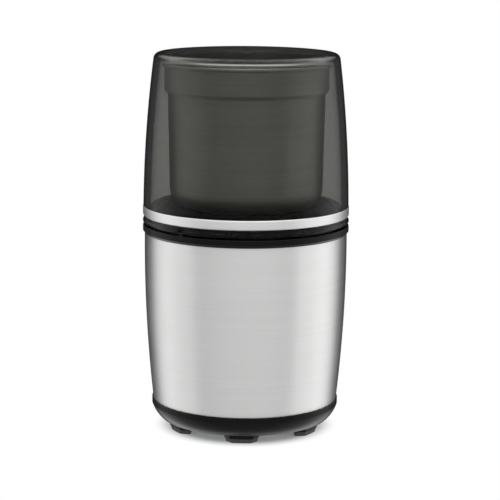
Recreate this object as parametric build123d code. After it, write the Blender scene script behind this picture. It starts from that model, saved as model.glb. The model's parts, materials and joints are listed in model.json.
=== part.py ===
from build123d import *
import os
from math import cos, hypot, radians, sin

# Electric spice grinder. Millimetres, +Z up, the floor at z = 0 and the machine's axis on Z.
# An azimuth of 0 is the front (-Y) and grows towards +X.

# ---- Running fits and gaps ----
RUNNING_FIT = 0.05      # radial play of a shaft in its bearing
SEAT_FIT = 0.05         # radial play between pieces that are pressed or glued together
SLIDE_GAP = 0.3         # least gap between pieces that move past each other
SCREW_PLAY = 0.1        # radial play of a screw in its hole
OVER = 1.0              # how far a cut, or a piece that is fused on, runs past the face it meets

# ---- Collar, moat and lid spigot, from the outside in ----
BODY_R = 57.0
COLLAR_STEP = 1.0
COLLAR_T = 2.2
SPIGOT_GAP = 0.6
LID_SPIGOT_T = 2.3
MOAT_GAP = 1.4
SLEEVE_TOP_R = BODY_R - COLLAR_STEP
COLLAR_IN_R = BODY_R - COLLAR_T
LID_SPIGOT_R = COLLAR_IN_R - SPIGOT_GAP
LID_SPIGOT_IN_R = LID_SPIGOT_R - LID_SPIGOT_T
PLATFORM_R = LID_SPIGOT_IN_R - MOAT_GAP
COLLAR_H = 4.3
COLLAR_CHAMFER_H = 1.2
COLLAR_ROUND = 0.6
MOAT_RISE = 0.4          # moat floor over the sleeve's top edge
PLATFORM_H = 13.7
PLATFORM_ROUND = 1.0

# ---- Steel sleeve ----
SLEEVE_H = 93.7
SLEEVE_TAPER = 4.65
SLEEVE_BULGE = 1.4
SLEEVE_WALL = 0.8
SLEEVE_LOW_R = SLEEVE_TOP_R - SLEEVE_TAPER

# ---- Base pan ----
PAN_PROUD = 0.65
PAN_FLARE = 5.5
PAN_FLANK_BULGE = 0.7
PAN_EDGE_ROUND = 0.6
PAN_RIM_H = 3.0
PAN_H = 11.1
PAN_WALL = 2.3
PAN_FLOOR_T = 2.5
PAN_COLLAR_H = 7.8
PAN_COLLAR_FIT = 0.15
COLUMN_R = 5.0
COLUMN_RISE = 15.8
COLUMN_SINK = 0.2
PAN_R = SLEEVE_LOW_R + PAN_PROUD
PAN_FLOOR_R = PAN_R - PAN_FLARE

# ---- Feet ----
FOOT_COUNT = 6
FOOT_AZIMUTH = -2.0
FOOT_INSET = 2.9
FOOT_DEPTH = 5.5
FOOT_WIDTH = 17.8
FOOT_WIDTH_TOP = 19.8
FOOT_TOP_SPREAD = 0.8
FOOT_CUT = 3.2           # bevel of a foot's outer corners
FOOT_ROUND = 1.1
FOOT_H = 5.1
PAD_H = 2.5
PAD_INSET = 0.35
PAD_EDGE_ROUND = 0.6
FOOT_OUTER_R = PAN_FLOOR_R - FOOT_INSET

# ---- Bottom cover ----
COVER_MARGIN = 6.3
COVER_T = 1.4
COVER_LEDGE = 6.0
VENT_COUNT = 12
VENT_IN_R = 9.0
VENT_MARGIN = 9.0
VENT_W = 2.6
COVER_SCREW_INSET = 3.0
COVER_SCREW_R = 1.2
COVER_SCREW_LEN = 5.3
COVER_HEAD_R = 2.4
COVER_HEAD_H = 1.44
COVER_BOSS_R = 3.0
COVER_BOSS_H = 4.0
COVER_R = FOOT_OUTER_R - FOOT_DEPTH - FOOT_TOP_SPREAD - COVER_MARGIN
COVER_SCREW_RING = COVER_R - COVER_SCREW_INSET
VENT_OUT_R = COVER_R - VENT_MARGIN

# ---- Deck moulding: walls, bowl socket, keys ----
DECK_SPIGOT_H = 3.1
DECK_SPIGOT_FIT = 0.15
DECK_WALL = 2.5
SOCKET_R = 33.0
SOCKET_LIP = 2.4
SOCKET_DEPTH = 11.6
SOCKET_LIP_H = 5.0
STOP_WIDTH = 4.0         # degrees
STOP_GAP = 1.0           # degrees between a lug's end and its stop
DECK_RIBS = 9
RIB_AZIMUTH = 48.7
RIB_T = 1.6
KEY_AZIMUTH = -38.0
KEY_W = 3.0
KEY_H = 1.4
KEY_PLAY = 0.6
SOCKET_LIP_R = SOCKET_R - SOCKET_LIP
NOTCH_W = KEY_W + 2 * KEY_PLAY

# ---- Tie screws between pan and deck ----
POST_R = 4.0
POST_GAP = 2.0
POST_COUNT = 3
POST_AZIMUTH = 28.7
TIE_SCREW_R = 1.45
TIE_SCREW_LEN = 36.0
TIE_HEAD_R = 3.0
TIE_HEAD_H = 2.2
TIE_HEAD_RECESS = 3.6
PILOT_SPARE = 2.0        # a pilot hole runs past its screw's tip
POST_RING = PLATFORM_R - DECK_WALL - POST_R - POST_GAP
CROSS_W = 0.7            # width and depth of a screw's cross slot
CROSS_DEPTH = 0.7

# ---- Lid ----
LID_GAP = 1.8
FLANGE_H = 1.5
FLANGE_CHAMFER = 0.4
SKIRT_INSET = 0.6
RING_LIFT = 3.4
RING_H = 5.4
RING_T = 1.4
RING_ROUND_LOW = 1.1
RING_ROUND_TOP = 0.6
LID_INSET = 0.25
LID_TAPER = 6.0
LID_BULGE = 1.25
LID_WALL = 3.6
LID_TOP_T = 2.7
LID_SHOULDER = 3.4
LID_INNER_ROUND = 3.0
LID_SPIGOT_H = 3.5
LID_SKIRT_R = BODY_R - SKIRT_INSET
LID_LOW_R = BODY_R - LID_INSET
LID_TOP_R = LID_LOW_R - LID_TAPER
GROOVE_R = BODY_R - RING_T

# ---- Bowl ----
BOWL_GAP = 1.0           # bowl bottom over the platform
BOWL_SIDE_GAP = 1.95     # bowl collar to the lid's wall at its top
BOWL_HEADROOM = 2.2      # bowl rim to the lid's ceiling
BOWL_H = 79.2
BOWL_TAPER = 1.2
BOWL_COLLAR_STEP = 2.0
BOWL_COLLAR_H = 14.0
BOWL_STEP_H = 2.0
BOWL_WALL = 0.8
BOWL_ROUND = 10.0
BEAD_R = 1.2
BOWL_COLLAR_R = LID_TOP_R - LID_WALL - BOWL_SIDE_GAP
BOWL_TOP_R = BOWL_COLLAR_R - BOWL_COLLAR_STEP
BOWL_LOW_R = BOWL_TOP_R - BOWL_TAPER

# ---- Drive and blade couplings ----
SHAFT_R = 4.0
BLADE_SHAFT_R = 3.0
COUPLING_R = 9.5
COUPLING_WEB = 1.5
COUPLING_IN_R = SHAFT_R + COUPLING_WEB
COUPLING_HUB_H = 5.4
COUPLING_ROOM = 2.0
COUPLING_CAVITY_R = COUPLING_R + COUPLING_ROOM
COUPLING_CAVITY_H = 7.6
DOG_H = 5.0
DOG_W = 4.4
DRIVE_HUB_H = 10.0
DRIVE_UNDER_SOCKET = 4.0  # drive coupling hub top under the bowl socket's floor face
DRIVE_HOLE_GAP = 1.5
SEAL_T = 3.2
SEAL_H = 4.0
DRIVE_HOLE_R = COUPLING_R + DRIVE_HOLE_GAP
SEAL_R = DRIVE_HOLE_R + SEAL_T

# ---- Bowl foot and hub ----
BUSH_T = 2.5
NECK_WALL = 2.9
NECK_H = 6.2
HUB_WALL = 2.5
FOOT_RING_WALL = 2.5
FOOT_PLATE_T = 4.0
FOOT_RIBS = 6
LUG_COUNT = 3
LUG_AZIMUTH = 20.0
LUG_WIDTH = 24.0         # degrees
LUG_SLOT_PLAY = 4.0      # degrees
LUG_GAP = 0.5
LUG_LIFT = 3.2
LUG_H = 3.1
UNLOCK_ANGLE = 30.0
GASKET_T = 0.8
GASKET_W = 4.1
BOWL_NUT_W = 4.6
BOWL_NUT_H = 3.4
BOWL_NUT_ROUND = 0.8
BOWL_NUT_GRIPS = 6
NUT_GRIP_W = 4.0
NUT_GRIP_DEPTH = 0.6
FOOT_RING_R = SOCKET_LIP_R - SLIDE_GAP
LUG_R = SOCKET_R - LUG_GAP
BUSH_R = BLADE_SHAFT_R + BUSH_T
NECK_R = BUSH_R + NECK_WALL
GASKET_R = NECK_R + GASKET_W
BOWL_NUT_R = NECK_R + BOWL_NUT_W

# ---- Blade set ----
SEAL_LIP_W = 3.4
SEAL_LIP_H = 2.0
SHAFT_COLLAR_W = 1.6
SHAFT_COLLAR_H = 0.9
STUD_STEP = 0.5
BLADE_T = 1.4
BLADE_TIP_GAP = 9.0      # blade tip to the bowl's wall at its foot
BLADE_FLAT = 11.0
BLADE_HUB_W = 4.0
BLADE_W = 13.0
BLADE_RISE = 7.0
BLADE_FALL = 3.6
BLADE_TIP_CORNERS = ((2.0, -1.0), (0.0, 3.0), (4.0, 5.0))  # in from the tip, and across
BLADE_TIP_ROUND = 1.0
BLADE_NUT_W = 2.3
BLADE_NUT_H = 4.0
SEAL_LIP_R = BLADE_SHAFT_R + SEAL_LIP_W
SHAFT_COLLAR_R = BLADE_SHAFT_R + SHAFT_COLLAR_W
BLADE_STUD_R = BLADE_SHAFT_R - STUD_STEP
BLADE_HOLE_R = BLADE_STUD_R + SCREW_PLAY
BLADE_HUB_R = BLADE_SHAFT_R + BLADE_HUB_W
BLADE_NUT_R = BLADE_STUD_R + BLADE_NUT_W
BLADE_REACH = BOWL_LOW_R - BLADE_TIP_GAP

# ---- Press ring, pins and springs ----
PRESS_RING_W = 4.9
PRESS_RING_EDGE = 1.0
PRESS_RING_T = 2.5
PRESS_RING_DROP = 13.4   # ring's underside below the sleeve's top edge
PIN_R = 1.1
PIN_SEAT = 1.0
PIN_COUNT = 3
PIN_AZIMUTH = 58.7
EAR_W = 8.0
SPRING_R = 2.4
SPRING_WIRE_R = 0.35
SPRING_TURNS = 5
SPRING_MARGIN = 1.0
SPRING_STEP = 1.5        # springs outside the ring of posts
SPRING_PEG_R = 1.6
SPRING_PEG_H = 2.2
PIN_RING = LID_SPIGOT_IN_R + PIN_SEAT
PRESS_RING_OUT_R = PIN_RING + PRESS_RING_EDGE
PRESS_RING_IN_R = PRESS_RING_OUT_R - PRESS_RING_W
SPRING_RING = POST_RING + SPRING_STEP

# ---- Motor: armature and commutator ----
BEARING_WALL = 4.0
BEARING_H = 6.5
BEARING_CHAMFER = 0.8
BEARING_CUP_WALL = 2.5
BEARING_CUP_FLOOR = 1.0
SHAFT_HOLE_PLAY = 2.0
SHAFT_TAIL = 1.5
COMMUTATOR_W = 6.0
COMMUTATOR_H = 10.0
COMMUTATOR_LIFT = 6.0
COMMUTATOR_BARS = 12
COMMUTATOR_CUT_W = 0.5
COMMUTATOR_CUT_DEPTH = 0.6
STACK_GAP = 7.0          # commutator to stack
END_TURN_H = 4.5
END_TURN_INSET = 1.2
END_TURN_BORE = 1.0
END_TURN_ROUND = 2.0
ARMATURE_R = 14.5
ARMATURE_SLOTS = 12
SLOT_W = 2.2
SLOT_DEPTH = 5.7
BEARING_R = SHAFT_R + BEARING_WALL
COMMUTATOR_R = SHAFT_R + COMMUTATOR_W

# ---- Motor: stator ----
AIR_GAP = 0.6
POLE_W = 16.0
POLE_SHOE_T = 3.1
POLE_SHOE_W = 29.0
POLE_GAP_SHARE = 1.3     # opening between the shoes, in bores
COIL_T = 6.0
COIL_GAP = 0.5
COIL_W = 28.0
WINDOW_SIDE_GAP = 2.9
WINDOW_ROUND = 3.0
YOKE_X = 7.0
YOKE_Y = 9.0
STATOR_ROUND = 5.0
BORE_R = ARMATURE_R + AIR_GAP
WINDOW_X = 2 * (BORE_R + POLE_SHOE_T + COIL_GAP + COIL_T + SLIDE_GAP)
WINDOW_Y = 2 * (BORE_R + WINDOW_SIDE_GAP)
STATOR_X = WINDOW_X + 2 * YOKE_X
STATOR_Y = WINDOW_Y + 2 * YOKE_Y

# ---- Motor frame ----
BRACKET_LIFT = 11.4      # over the pan's floor
BRACKET_T = 4.0
BRACKET_MARGIN = 1.0
BRACKET_OPENING = (13.2, 28.0)
BRACKET_OPENING_X = 19.8
BOLT_INSET_X = 3.5
BOLT_INSET_Y = 4.5
BOLT_R = 1.95
BOLT_HEAD_R = 3.4
BOLT_HEAD_H = 2.5
BOLT_SPARE = 1.0
SPACER_R = 3.5
PLATE_DROP = 25.4        # plate's underside below the sleeve's top edge
PLATE_T = 1.5
PLATE_MARGIN = 4.5
PLATE_POST_GAP = 1.0
PLATE_VENTS = 6
PLATE_VENT_RING = 20.0
PLATE_VENT_LEN = 10.0
PLATE_VENT_W = 5.0
MOUNT_INSET = 9.5        # mount screws inside the ring of posts
MOUNT_SCREW_BITE = 10.0
GROMMET_R = 4.6
GROMMET_NECK_R = 3.0
GROMMET_BORE_R = 1.9
GROMMET_TOP = 3.0
GROMMET_LOW = 2.0
BOSS_R = 3.5
BRACKET_X = STATOR_X + 2 * BRACKET_MARGIN
BRACKET_Y = STATOR_Y + 2 * BRACKET_MARGIN
BOLT_X = STATOR_X / 2 - BOLT_INSET_X
BOLT_Y = STATOR_Y / 2 - BOLT_INSET_Y
PLATE_R = POST_RING + PLATE_MARGIN
MOUNT_RING = POST_RING - MOUNT_INSET

# ---- Fan ----
FAN_DROP = 11.5          # fan's underside below the plate
FAN_STACK_GAP = 5.0
FAN_H = 8.0
FAN_GAP = 3.5            # fan's rim to the heads of the mount screws
FAN_BLADES = 12
FAN_T = 1.2
FAN_HUB_W = 3.0
FAN_BLADE_START = 5.0
FAN_RIM = 1.0
FAN_RAKE = 18.0          # degrees
FAN_R = MOUNT_RING - TIE_HEAD_R - FAN_GAP

# ---- Brushes ----
BRUSH_W = 6.0
BRUSH_H = 7.0
BRUSH_LEN = 9.0
BRUSH_BITE = 1.0         # how far the brush's corners wrap the commutator
BRUSH_SPRING_R = 2.2
BRUSH_WIRE_R = 0.3
BRUSH_SPRING_TURNS = 4
HOLDER_WALL = 1.4
HOLDER_GAP = 1.8
HOLDER_LEN = 15.4
HOLDER_START = COMMUTATOR_R + HOLDER_GAP

# ---- Safety switch ----
SWITCH_INSET = 1.0       # switch's middle inside the ring of posts
SWITCH_W = 6.4
SWITCH_LEN = 20.0
SWITCH_H = 5.0
SWITCH_FLOOR = 1.0
SWITCH_EAR_T = 0.8
SWITCH_EAR_LEN = 3.2
SWITCH_EAR_TOP = 1.4
LEVER_W = 4.0
LEVER_T = 0.6
LEVER_PIVOT_Y = -8.0
LEVER_REACH = 17.0
LEVER_LIFT = 7.5         # underside of the lever over the motor plate
LEVER_PIN_R = 0.6
LEVER_EYE_R = 1.2
BUTTON_Y = -3.0
BUTTON_R = 1.2
BUTTON_TRAVEL = 0.5
FINGER_T = 1.5
FINGER_Y = 7.25
ARM_W = 4.5
ARM_LAP = 1.5
SWITCH_X = POST_RING - SWITCH_INSET

# ---- Wiring and cord inlet ----
GLAND_R = 4.0
GLAND_BORE_R = 2.9
GLAND_FLANGE_R = 4.6
GLAND_FLANGE_T = 2.2
GLAND_LEN = 12.0
GLAND_DROP = 4.7         # gland's axis below the pan's top edge
BLOCK_SIZE = (14.0, 8.0, 7.0)
BLOCK_X = 8.0
BLOCK_INSET = 7.5        # inside the ring of posts
BLOCK_WELL_R = 1.8
BLOCK_WELL_DEPTH = 2.5
LEAD_R = 0.9
LEAD_BEND = 1.6
LEAD_BEND_TIGHT = 1.4
LEAD_WALL_GAP = 0.55
LEAD_EXIT = 4.0          # straight run out of a piece that a lead enters
LEAD_EXIT_TIGHT = 3.0    # the same at the rear brush
BLOCK_STUB = 5.0         # straight run out of the terminal block
LEAD_BOW = 10.0          # how far below its run over the plate a lead starts to lean over
BRUSH_APPROACH = 6.0     # how far below the rear brush its lead leaves the upright
LEAD_LIFT = 2.6          # lead run over the motor plate
LEAD_CLIMB = 14.0        # height in which a lead leaves the block for the ring
LEAD_SWING = 12.0        # height in which a lead leaves its run over the plate
LEAD_SHIFT = 3.5         # leads to either side of the block's middle
LEAD_SET = (2.0, 1.0)    # how far behind the block's middle the two leads enter it
LEAD_RING = SLEEVE_LOW_R - SLEEVE_WALL - LEAD_WALL_GAP
BLOCK_PLACE = (BLOCK_X, POST_RING - BLOCK_INSET)

# ---- Heights that follow ----
FLOOR_TOP = FOOT_H + PAN_FLOOR_T
PAN_TOP = FOOT_H + PAN_H
COLUMN_TOP = PAN_TOP + COLUMN_RISE
GLAND_Z = PAN_TOP - GLAND_DROP
SLEEVE_TOP = PAN_TOP + SLEEVE_H
COLLAR_TOP = SLEEVE_TOP + COLLAR_H
MOAT_Z = SLEEVE_TOP + MOAT_RISE
PLATFORM_Z = SLEEVE_TOP + PLATFORM_H
SOCKET_Z = PLATFORM_Z - SOCKET_DEPTH
SOCKET_UNDER_Z = SOCKET_Z - DECK_WALL
FLANGE_Z = COLLAR_TOP + LID_GAP
RING_Z = FLANGE_Z + RING_LIFT
RING_TOP = RING_Z + RING_H
SPIGOT_Z = FLANGE_Z - LID_SPIGOT_H
BOWL_Z = PLATFORM_Z + BOWL_GAP
BOWL_FLOOR_Z = BOWL_Z + BOWL_WALL
BOWL_TOP = BOWL_Z + BOWL_H
LID_CEILING = BOWL_TOP + BOWL_HEADROOM
LID_TOP = LID_CEILING + LID_TOP_T
NECK_TOP = BOWL_Z + NECK_H
SHAFT_COLLAR_Z = NECK_TOP + SEAL_LIP_H + SLIDE_GAP
BLADE_Z = SHAFT_COLLAR_Z + SHAFT_COLLAR_H
BLADE_NUT_Z = BLADE_Z + BLADE_T
DRIVE_TOP_Z = SOCKET_Z - DRIVE_UNDER_SOCKET
DRIVE_DOG_TOP = DRIVE_TOP_Z + DOG_H
BLADE_COUPLING_Z = DRIVE_DOG_TOP + 2 * SLIDE_GAP
BLADE_DOG_LOW = DRIVE_TOP_Z + 2 * SLIDE_GAP
PLATE_Z = SLEEVE_TOP - PLATE_DROP
PLATE_TOP = PLATE_Z + PLATE_T
PRESS_RING_Z = SLEEVE_TOP - PRESS_RING_DROP
BRACKET_Z = FLOOR_TOP + BRACKET_LIFT
BRACKET_TOP = BRACKET_Z + BRACKET_T
BEARING_LOW_Z = BRACKET_Z + BEARING_CUP_FLOOR
SHAFT_LOW_Z = BRACKET_Z - SHAFT_TAIL
COMMUTATOR_Z = BRACKET_TOP + COMMUTATOR_LIFT
BRUSH_Z = COMMUTATOR_Z + COMMUTATOR_H / 2
STACK_Z = COMMUTATOR_Z + COMMUTATOR_H + STACK_GAP
FAN_Z = PLATE_Z - FAN_DROP
STACK_TOP = FAN_Z - FAN_STACK_GAP
STACK_H = STACK_TOP - STACK_Z
MOUNT_SCREW_LOW = PLATE_Z - GROMMET_LOW
MOUNT_SCREW_TOP = PLATE_TOP + GROMMET_TOP + MOUNT_SCREW_BITE


# ---- Helpers ----
def turned(*outline):
    """A solid of revolution about Z from the (radius, height) corners of its section."""
    return revolve(make_face(Polyline(*[(r, 0, z) for r, z in outline], close=True)), Axis.Z)


def ring(inner_r, outer_r, low_z, high_z):
    """A plain tube about Z."""
    return turned((inner_r, low_z), (outer_r, low_z), (outer_r, high_z), (inner_r, high_z))


def disc(radius, low_z, high_z):
    """A plain cylinder on Z between two heights."""
    return Pos(0, 0, low_z) * Cylinder(radius, high_z - low_z, align=(Align.CENTER, Align.CENTER, Align.MIN))


def turned_bow(low, high, bulge, inner_r=0.0):
    """A turned solid whose outer wall bows out by bulge between two (radius, height) corners."""
    middle = ((low[0] + high[0]) / 2 + bulge, 0, (low[1] + high[1]) / 2)
    wall = ThreePointArc((low[0], 0, low[1]), middle, (high[0], 0, high[1]))
    back = Polyline((high[0], 0, high[1]), (inner_r, 0, high[1]), (inner_r, 0, low[1]), (low[0], 0, low[1]))
    return revolve(make_face(wall.edges() + back.edges()), Axis.Z)


def bow_radius(z, low, high, bulge):
    """Radius of a bowed wall at height z."""
    share = (z - low[1]) / (high[1] - low[1])
    return low[0] + (high[0] - low[0]) * share + 4 * bulge * share * (1 - share)


def at_azimuth(piece, azimuth):
    """Turn a piece that was built at the front (-Y) round the axis to an azimuth."""
    return Rot(0, 0, azimuth) * piece


def front(piece, radius, z=0.0):
    """Move a piece built at the origin out to the front at a radius."""
    return Pos(0, -radius, z) * piece


def azimuths(count, first):
    return [first + 360 * i / count for i in range(count)]


def sector(inner_r, outer_r, low_z, high_z, azimuth, width):
    """A slice of a tube, width degrees wide, centred on an azimuth."""
    outline = [(inner_r, low_z), (outer_r, low_z), (outer_r, high_z), (inner_r, high_z)]
    face = make_face(Polyline(*[(r, 0, z) for r, z in outline], close=True))
    return Rot(0, 0, azimuth - 90 - width / 2) * revolve(face, Axis.Z, revolution_arc=width)


def block(x_size, y_size, low_z, high_z):
    """A box centred on the axis between two heights."""
    return Pos(0, 0, low_z) * Box(x_size, y_size, high_z - low_z, align=(Align.CENTER, Align.CENTER, Align.MIN))


def rim_round(solid, radius, z, amount):
    """Round the circular edge of a given radius and height."""
    found = [e for e in solid.edges().filter_by(GeomType.CIRCLE)
             if abs(e.radius - radius) < 1e-3 and abs(e.arc_center.Z - z) < 1e-3]
    return fillet(found, amount)


def joined(pieces):
    """Fuse a list of solids."""
    whole = pieces[0]
    for piece in pieces[1:]:
        whole = whole + piece
    return whole


def screw(shank_r, low_z, high_z, head_r, head_h):
    """A screw that points up, with its pan head below low_z."""
    head = rim_round(disc(head_r, low_z - head_h, low_z), head_r, low_z - head_h, head_h * 0.45)
    slot = Pos(0, 0, low_z - head_h) * Box(head_r * 1.3, CROSS_W, 2 * CROSS_DEPTH)
    cross = Pos(0, 0, low_z - head_h) * Box(CROSS_W, head_r * 1.3, 2 * CROSS_DEPTH)
    return head + disc(shank_r, low_z, high_z) - slot - cross


def coil_spring(radius, wire_r, low_z, high_z, turns):
    """A helical spring about Z between two heights."""
    height = high_z - low_z - 2 * wire_r
    path = Helix(height / turns, height, radius)
    wire = sweep(Plane(path @ 0, z_dir=path % 0) * Circle(wire_r), path=path, is_frenet=True)
    return Pos(0, 0, low_z + wire_r) * wire


# ---- Lid ----
LID_FOOT = (LID_LOW_R, RING_TOP)
LID_CROWN = (LID_TOP_R, LID_TOP)


def lid():
    """Clear cup-shaped cover: spigot and flange below, groove for the trim ring, bowed wall, flat top."""
    wall = rim_round(turned_bow(LID_FOOT, LID_CROWN, LID_BULGE), LID_TOP_R, LID_TOP, LID_SHOULDER)
    skirt = turned((0, SPIGOT_Z), (LID_SPIGOT_R, SPIGOT_Z), (LID_SPIGOT_R, FLANGE_Z), (BODY_R, FLANGE_Z),
                   (BODY_R, FLANGE_Z + FLANGE_H - FLANGE_CHAMFER),
                   (LID_SKIRT_R, FLANGE_Z + FLANGE_H), (LID_SKIRT_R, RING_Z), (GROOVE_R, RING_Z),
                   (GROOVE_R, RING_TOP), (0, RING_TOP))
    hollow_low = (LID_LOW_R - LID_WALL, RING_TOP)
    hollow_high = (bow_radius(LID_CEILING, LID_FOOT, LID_CROWN, LID_BULGE) - LID_WALL, LID_CEILING)
    hollow = rim_round(turned_bow(hollow_low, hollow_high, LID_BULGE), hollow_high[0], LID_CEILING, LID_INNER_ROUND)
    throat = turned((0, SPIGOT_Z - OVER), (LID_SPIGOT_IN_R, SPIGOT_Z - OVER), (LID_SPIGOT_IN_R, FLANGE_Z),
                    (hollow_low[0], RING_TOP), (0, RING_TOP))
    shell = wall + skirt - hollow - throat
    for azimuth in azimuths(PIN_COUNT, KEY_AZIMUTH):
        notch = front(Box(NOTCH_W, BODY_R - LID_SPIGOT_R, FLANGE_H * 2),
                      (BODY_R + LID_SPIGOT_R) / 2 + SLIDE_GAP, FLANGE_Z)
        shell -= at_azimuth(notch, azimuth)
    return shell


def lid_trim_ring():
    """Bright metal band let into the lid."""
    band = ring(GROOVE_R, BODY_R, RING_Z, RING_TOP)
    band = rim_round(band, BODY_R, RING_Z, RING_ROUND_LOW)
    return rim_round(band, BODY_R, RING_TOP, RING_ROUND_TOP)


# ---- Bowl ----
def bowl_wall(inset):
    """The bowl's solid outline, drawn in by inset all round."""
    low_z = BOWL_Z + inset
    step_z = BOWL_TOP - BEAD_R - BOWL_COLLAR_H
    corner_r = BOWL_LOW_R - inset
    body = turned((0, low_z), (corner_r, low_z), (BOWL_TOP_R - inset, step_z - BOWL_STEP_H),
                  (BOWL_COLLAR_R - inset, step_z), (BOWL_COLLAR_R - inset, BOWL_TOP - BEAD_R),
                  (0, BOWL_TOP - BEAD_R))
    return rim_round(body, corner_r, low_z, BOWL_ROUND - inset)


def bowl():
    """Spun steel bowl with a stepped collar, a rolled rim and a hole for its hub."""
    mouth = disc(BOWL_COLLAR_R - BOWL_WALL, BOWL_TOP - BEAD_R, BOWL_TOP + OVER)
    shell = bowl_wall(0) + Pos(0, 0, BOWL_TOP - BEAD_R) * Torus(BOWL_COLLAR_R, BEAD_R)
    return shell - bowl_wall(BOWL_WALL) - mouth - disc(NECK_R + SEAT_FIT, BOWL_Z - OVER, BOWL_FLOOR_Z + OVER)


def bowl_foot():
    """Moulded foot under the bowl: ring with bayonet lugs, hub and threaded neck."""
    plate_z = BOWL_Z - FOOT_PLATE_T
    cavity_top = SOCKET_Z + COUPLING_CAVITY_H
    pieces = [ring(FOOT_RING_R - FOOT_RING_WALL, FOOT_RING_R, SOCKET_Z, BOWL_Z),
              disc(FOOT_RING_R, plate_z, BOWL_Z),
              disc(COUPLING_CAVITY_R + HUB_WALL, SOCKET_Z + SLIDE_GAP, BOWL_Z),
              disc(NECK_R, BOWL_Z, NECK_TOP)]
    rib_len = FOOT_RING_R - FOOT_RING_WALL - COUPLING_CAVITY_R - HUB_WALL + OVER
    rib_place = COUPLING_CAVITY_R + HUB_WALL + (rib_len - OVER) / 2
    for azimuth in azimuths(FOOT_RIBS, 0):
        rib = front(block(RIB_T, rib_len, SOCKET_Z + SOCKET_LIP_H, BOWL_Z), rib_place)
        pieces.append(at_azimuth(rib, azimuth))
    for azimuth in azimuths(LUG_COUNT, LUG_AZIMUTH):
        pieces.append(sector(FOOT_RING_R - OVER, LUG_R, SOCKET_Z + LUG_LIFT,
                             SOCKET_Z + LUG_LIFT + LUG_H, azimuth, LUG_WIDTH))
    foot = joined(pieces) - disc(COUPLING_CAVITY_R, SOCKET_Z - OVER, cavity_top)
    return foot - disc(BUSH_R, cavity_top - OVER, NECK_TOP + OVER)


def bowl_gasket():
    return ring(NECK_R + SEAT_FIT, GASKET_R, BOWL_FLOOR_Z, BOWL_FLOOR_Z + GASKET_T)


def bowl_nut():
    """Round nut that clamps the bowl to its foot, with grips cut in its rim."""
    low_z = BOWL_FLOOR_Z + GASKET_T
    nut = rim_round(ring(NECK_R + SEAT_FIT, BOWL_NUT_R, low_z, low_z + BOWL_NUT_H),
                    BOWL_NUT_R, low_z + BOWL_NUT_H, BOWL_NUT_ROUND)
    grip = front(block(NUT_GRIP_W, 2 * NUT_GRIP_DEPTH, low_z - OVER, low_z + BOWL_NUT_H + OVER), BOWL_NUT_R)
    for azimuth in azimuths(BOWL_NUT_GRIPS, 0):
        nut -= at_azimuth(grip, azimuth)
    return nut


def blade_bush():
    return ring(BLADE_SHAFT_R + RUNNING_FIT, BUSH_R - SEAT_FIT, SOCKET_Z + COUPLING_CAVITY_H, NECK_TOP)


def shaft_seal():
    """Lip seal that sits on the neck round the blade shaft."""
    return turned((BLADE_SHAFT_R + RUNNING_FIT, NECK_TOP), (SEAL_LIP_R, NECK_TOP),
                  (SEAL_LIP_R, NECK_TOP + SEAL_LIP_H / 2), (SHAFT_COLLAR_R, NECK_TOP + SEAL_LIP_H),
                  (BLADE_SHAFT_R + RUNNING_FIT, NECK_TOP + SEAL_LIP_H))


# ---- Blade set ----
def blade_shaft():
    """Steel shaft with a shoulder under the blade and a stud above it."""
    stud_top = BLADE_NUT_Z + BLADE_NUT_H * 0.75
    return (disc(BLADE_SHAFT_R, BLADE_COUPLING_Z, BLADE_Z) + disc(SHAFT_COLLAR_R, SHAFT_COLLAR_Z, BLADE_Z)
            + disc(BLADE_STUD_R, BLADE_Z, stud_top))


def blade():
    """Flat steel blade, one wing bent up and one down, both swept to a rounded tip."""
    top = BLADE_T
    side = Polyline((-BLADE_REACH, -BLADE_FALL), (-BLADE_FLAT, 0), (BLADE_FLAT, 0), (BLADE_REACH, BLADE_RISE),
                    (BLADE_REACH, BLADE_RISE + top), (BLADE_FLAT, top), (-BLADE_FLAT, top),
                    (-BLADE_REACH, top - BLADE_FALL), close=True)
    strip = extrude(Plane.XZ * make_face(side), BLADE_W, both=True)
    tip = [(BLADE_REACH - inward, across) for inward, across in BLADE_TIP_CORNERS]
    wing = Polyline((0, -BLADE_W / 2), (BLADE_FLAT, -BLADE_W / 2), *tip, (BLADE_FLAT, BLADE_HUB_R),
                    (0, BLADE_HUB_R), close=True)
    half = fillet(make_face(wing).vertices().group_by(Axis.X)[-1], BLADE_TIP_ROUND)
    plan = half + Rot(0, 0, 180) * half + Circle(BLADE_HUB_R) - Circle(BLADE_HOLE_R)
    return Pos(0, 0, BLADE_Z) * (strip & extrude(plan, BLADE_W, both=True))


def blade_nut():
    """Dome nut on the blade."""
    flats = extrude(RegularPolygon(BLADE_NUT_R, 6), BLADE_NUT_H * 0.55)
    dome = disc(BLADE_NUT_R * 0.78, BLADE_NUT_H * 0.5, BLADE_NUT_H)
    dome = fillet(dome.edges().group_by(Axis.Z)[-1], BLADE_NUT_H * 0.35)
    return Pos(0, 0, BLADE_NUT_Z) * (flats + dome - disc(BLADE_STUD_R + SEAT_FIT, 0, BLADE_NUT_H * 0.8))


def coupling_dogs(low_z, high_z, azimuth):
    """Two dogs opposite each other."""
    dog = block(2 * COUPLING_R, DOG_W, low_z, high_z) & ring(COUPLING_IN_R, COUPLING_R, low_z, high_z)
    return [at_azimuth(solid, azimuth) for solid in dog.solids()]


def blade_coupling():
    hub_top = BLADE_COUPLING_Z + COUPLING_HUB_H
    hub = ring(BLADE_SHAFT_R + SEAT_FIT, COUPLING_R, BLADE_COUPLING_Z, hub_top)
    return joined([hub] + coupling_dogs(BLADE_DOG_LOW, BLADE_COUPLING_Z, 90))


def drive_coupling():
    hub = ring(SHAFT_R + SEAT_FIT, COUPLING_R, DRIVE_TOP_Z - DRIVE_HUB_H, DRIVE_TOP_Z)
    return joined([hub] + coupling_dogs(DRIVE_TOP_Z, DRIVE_DOG_TOP, 0))


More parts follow.
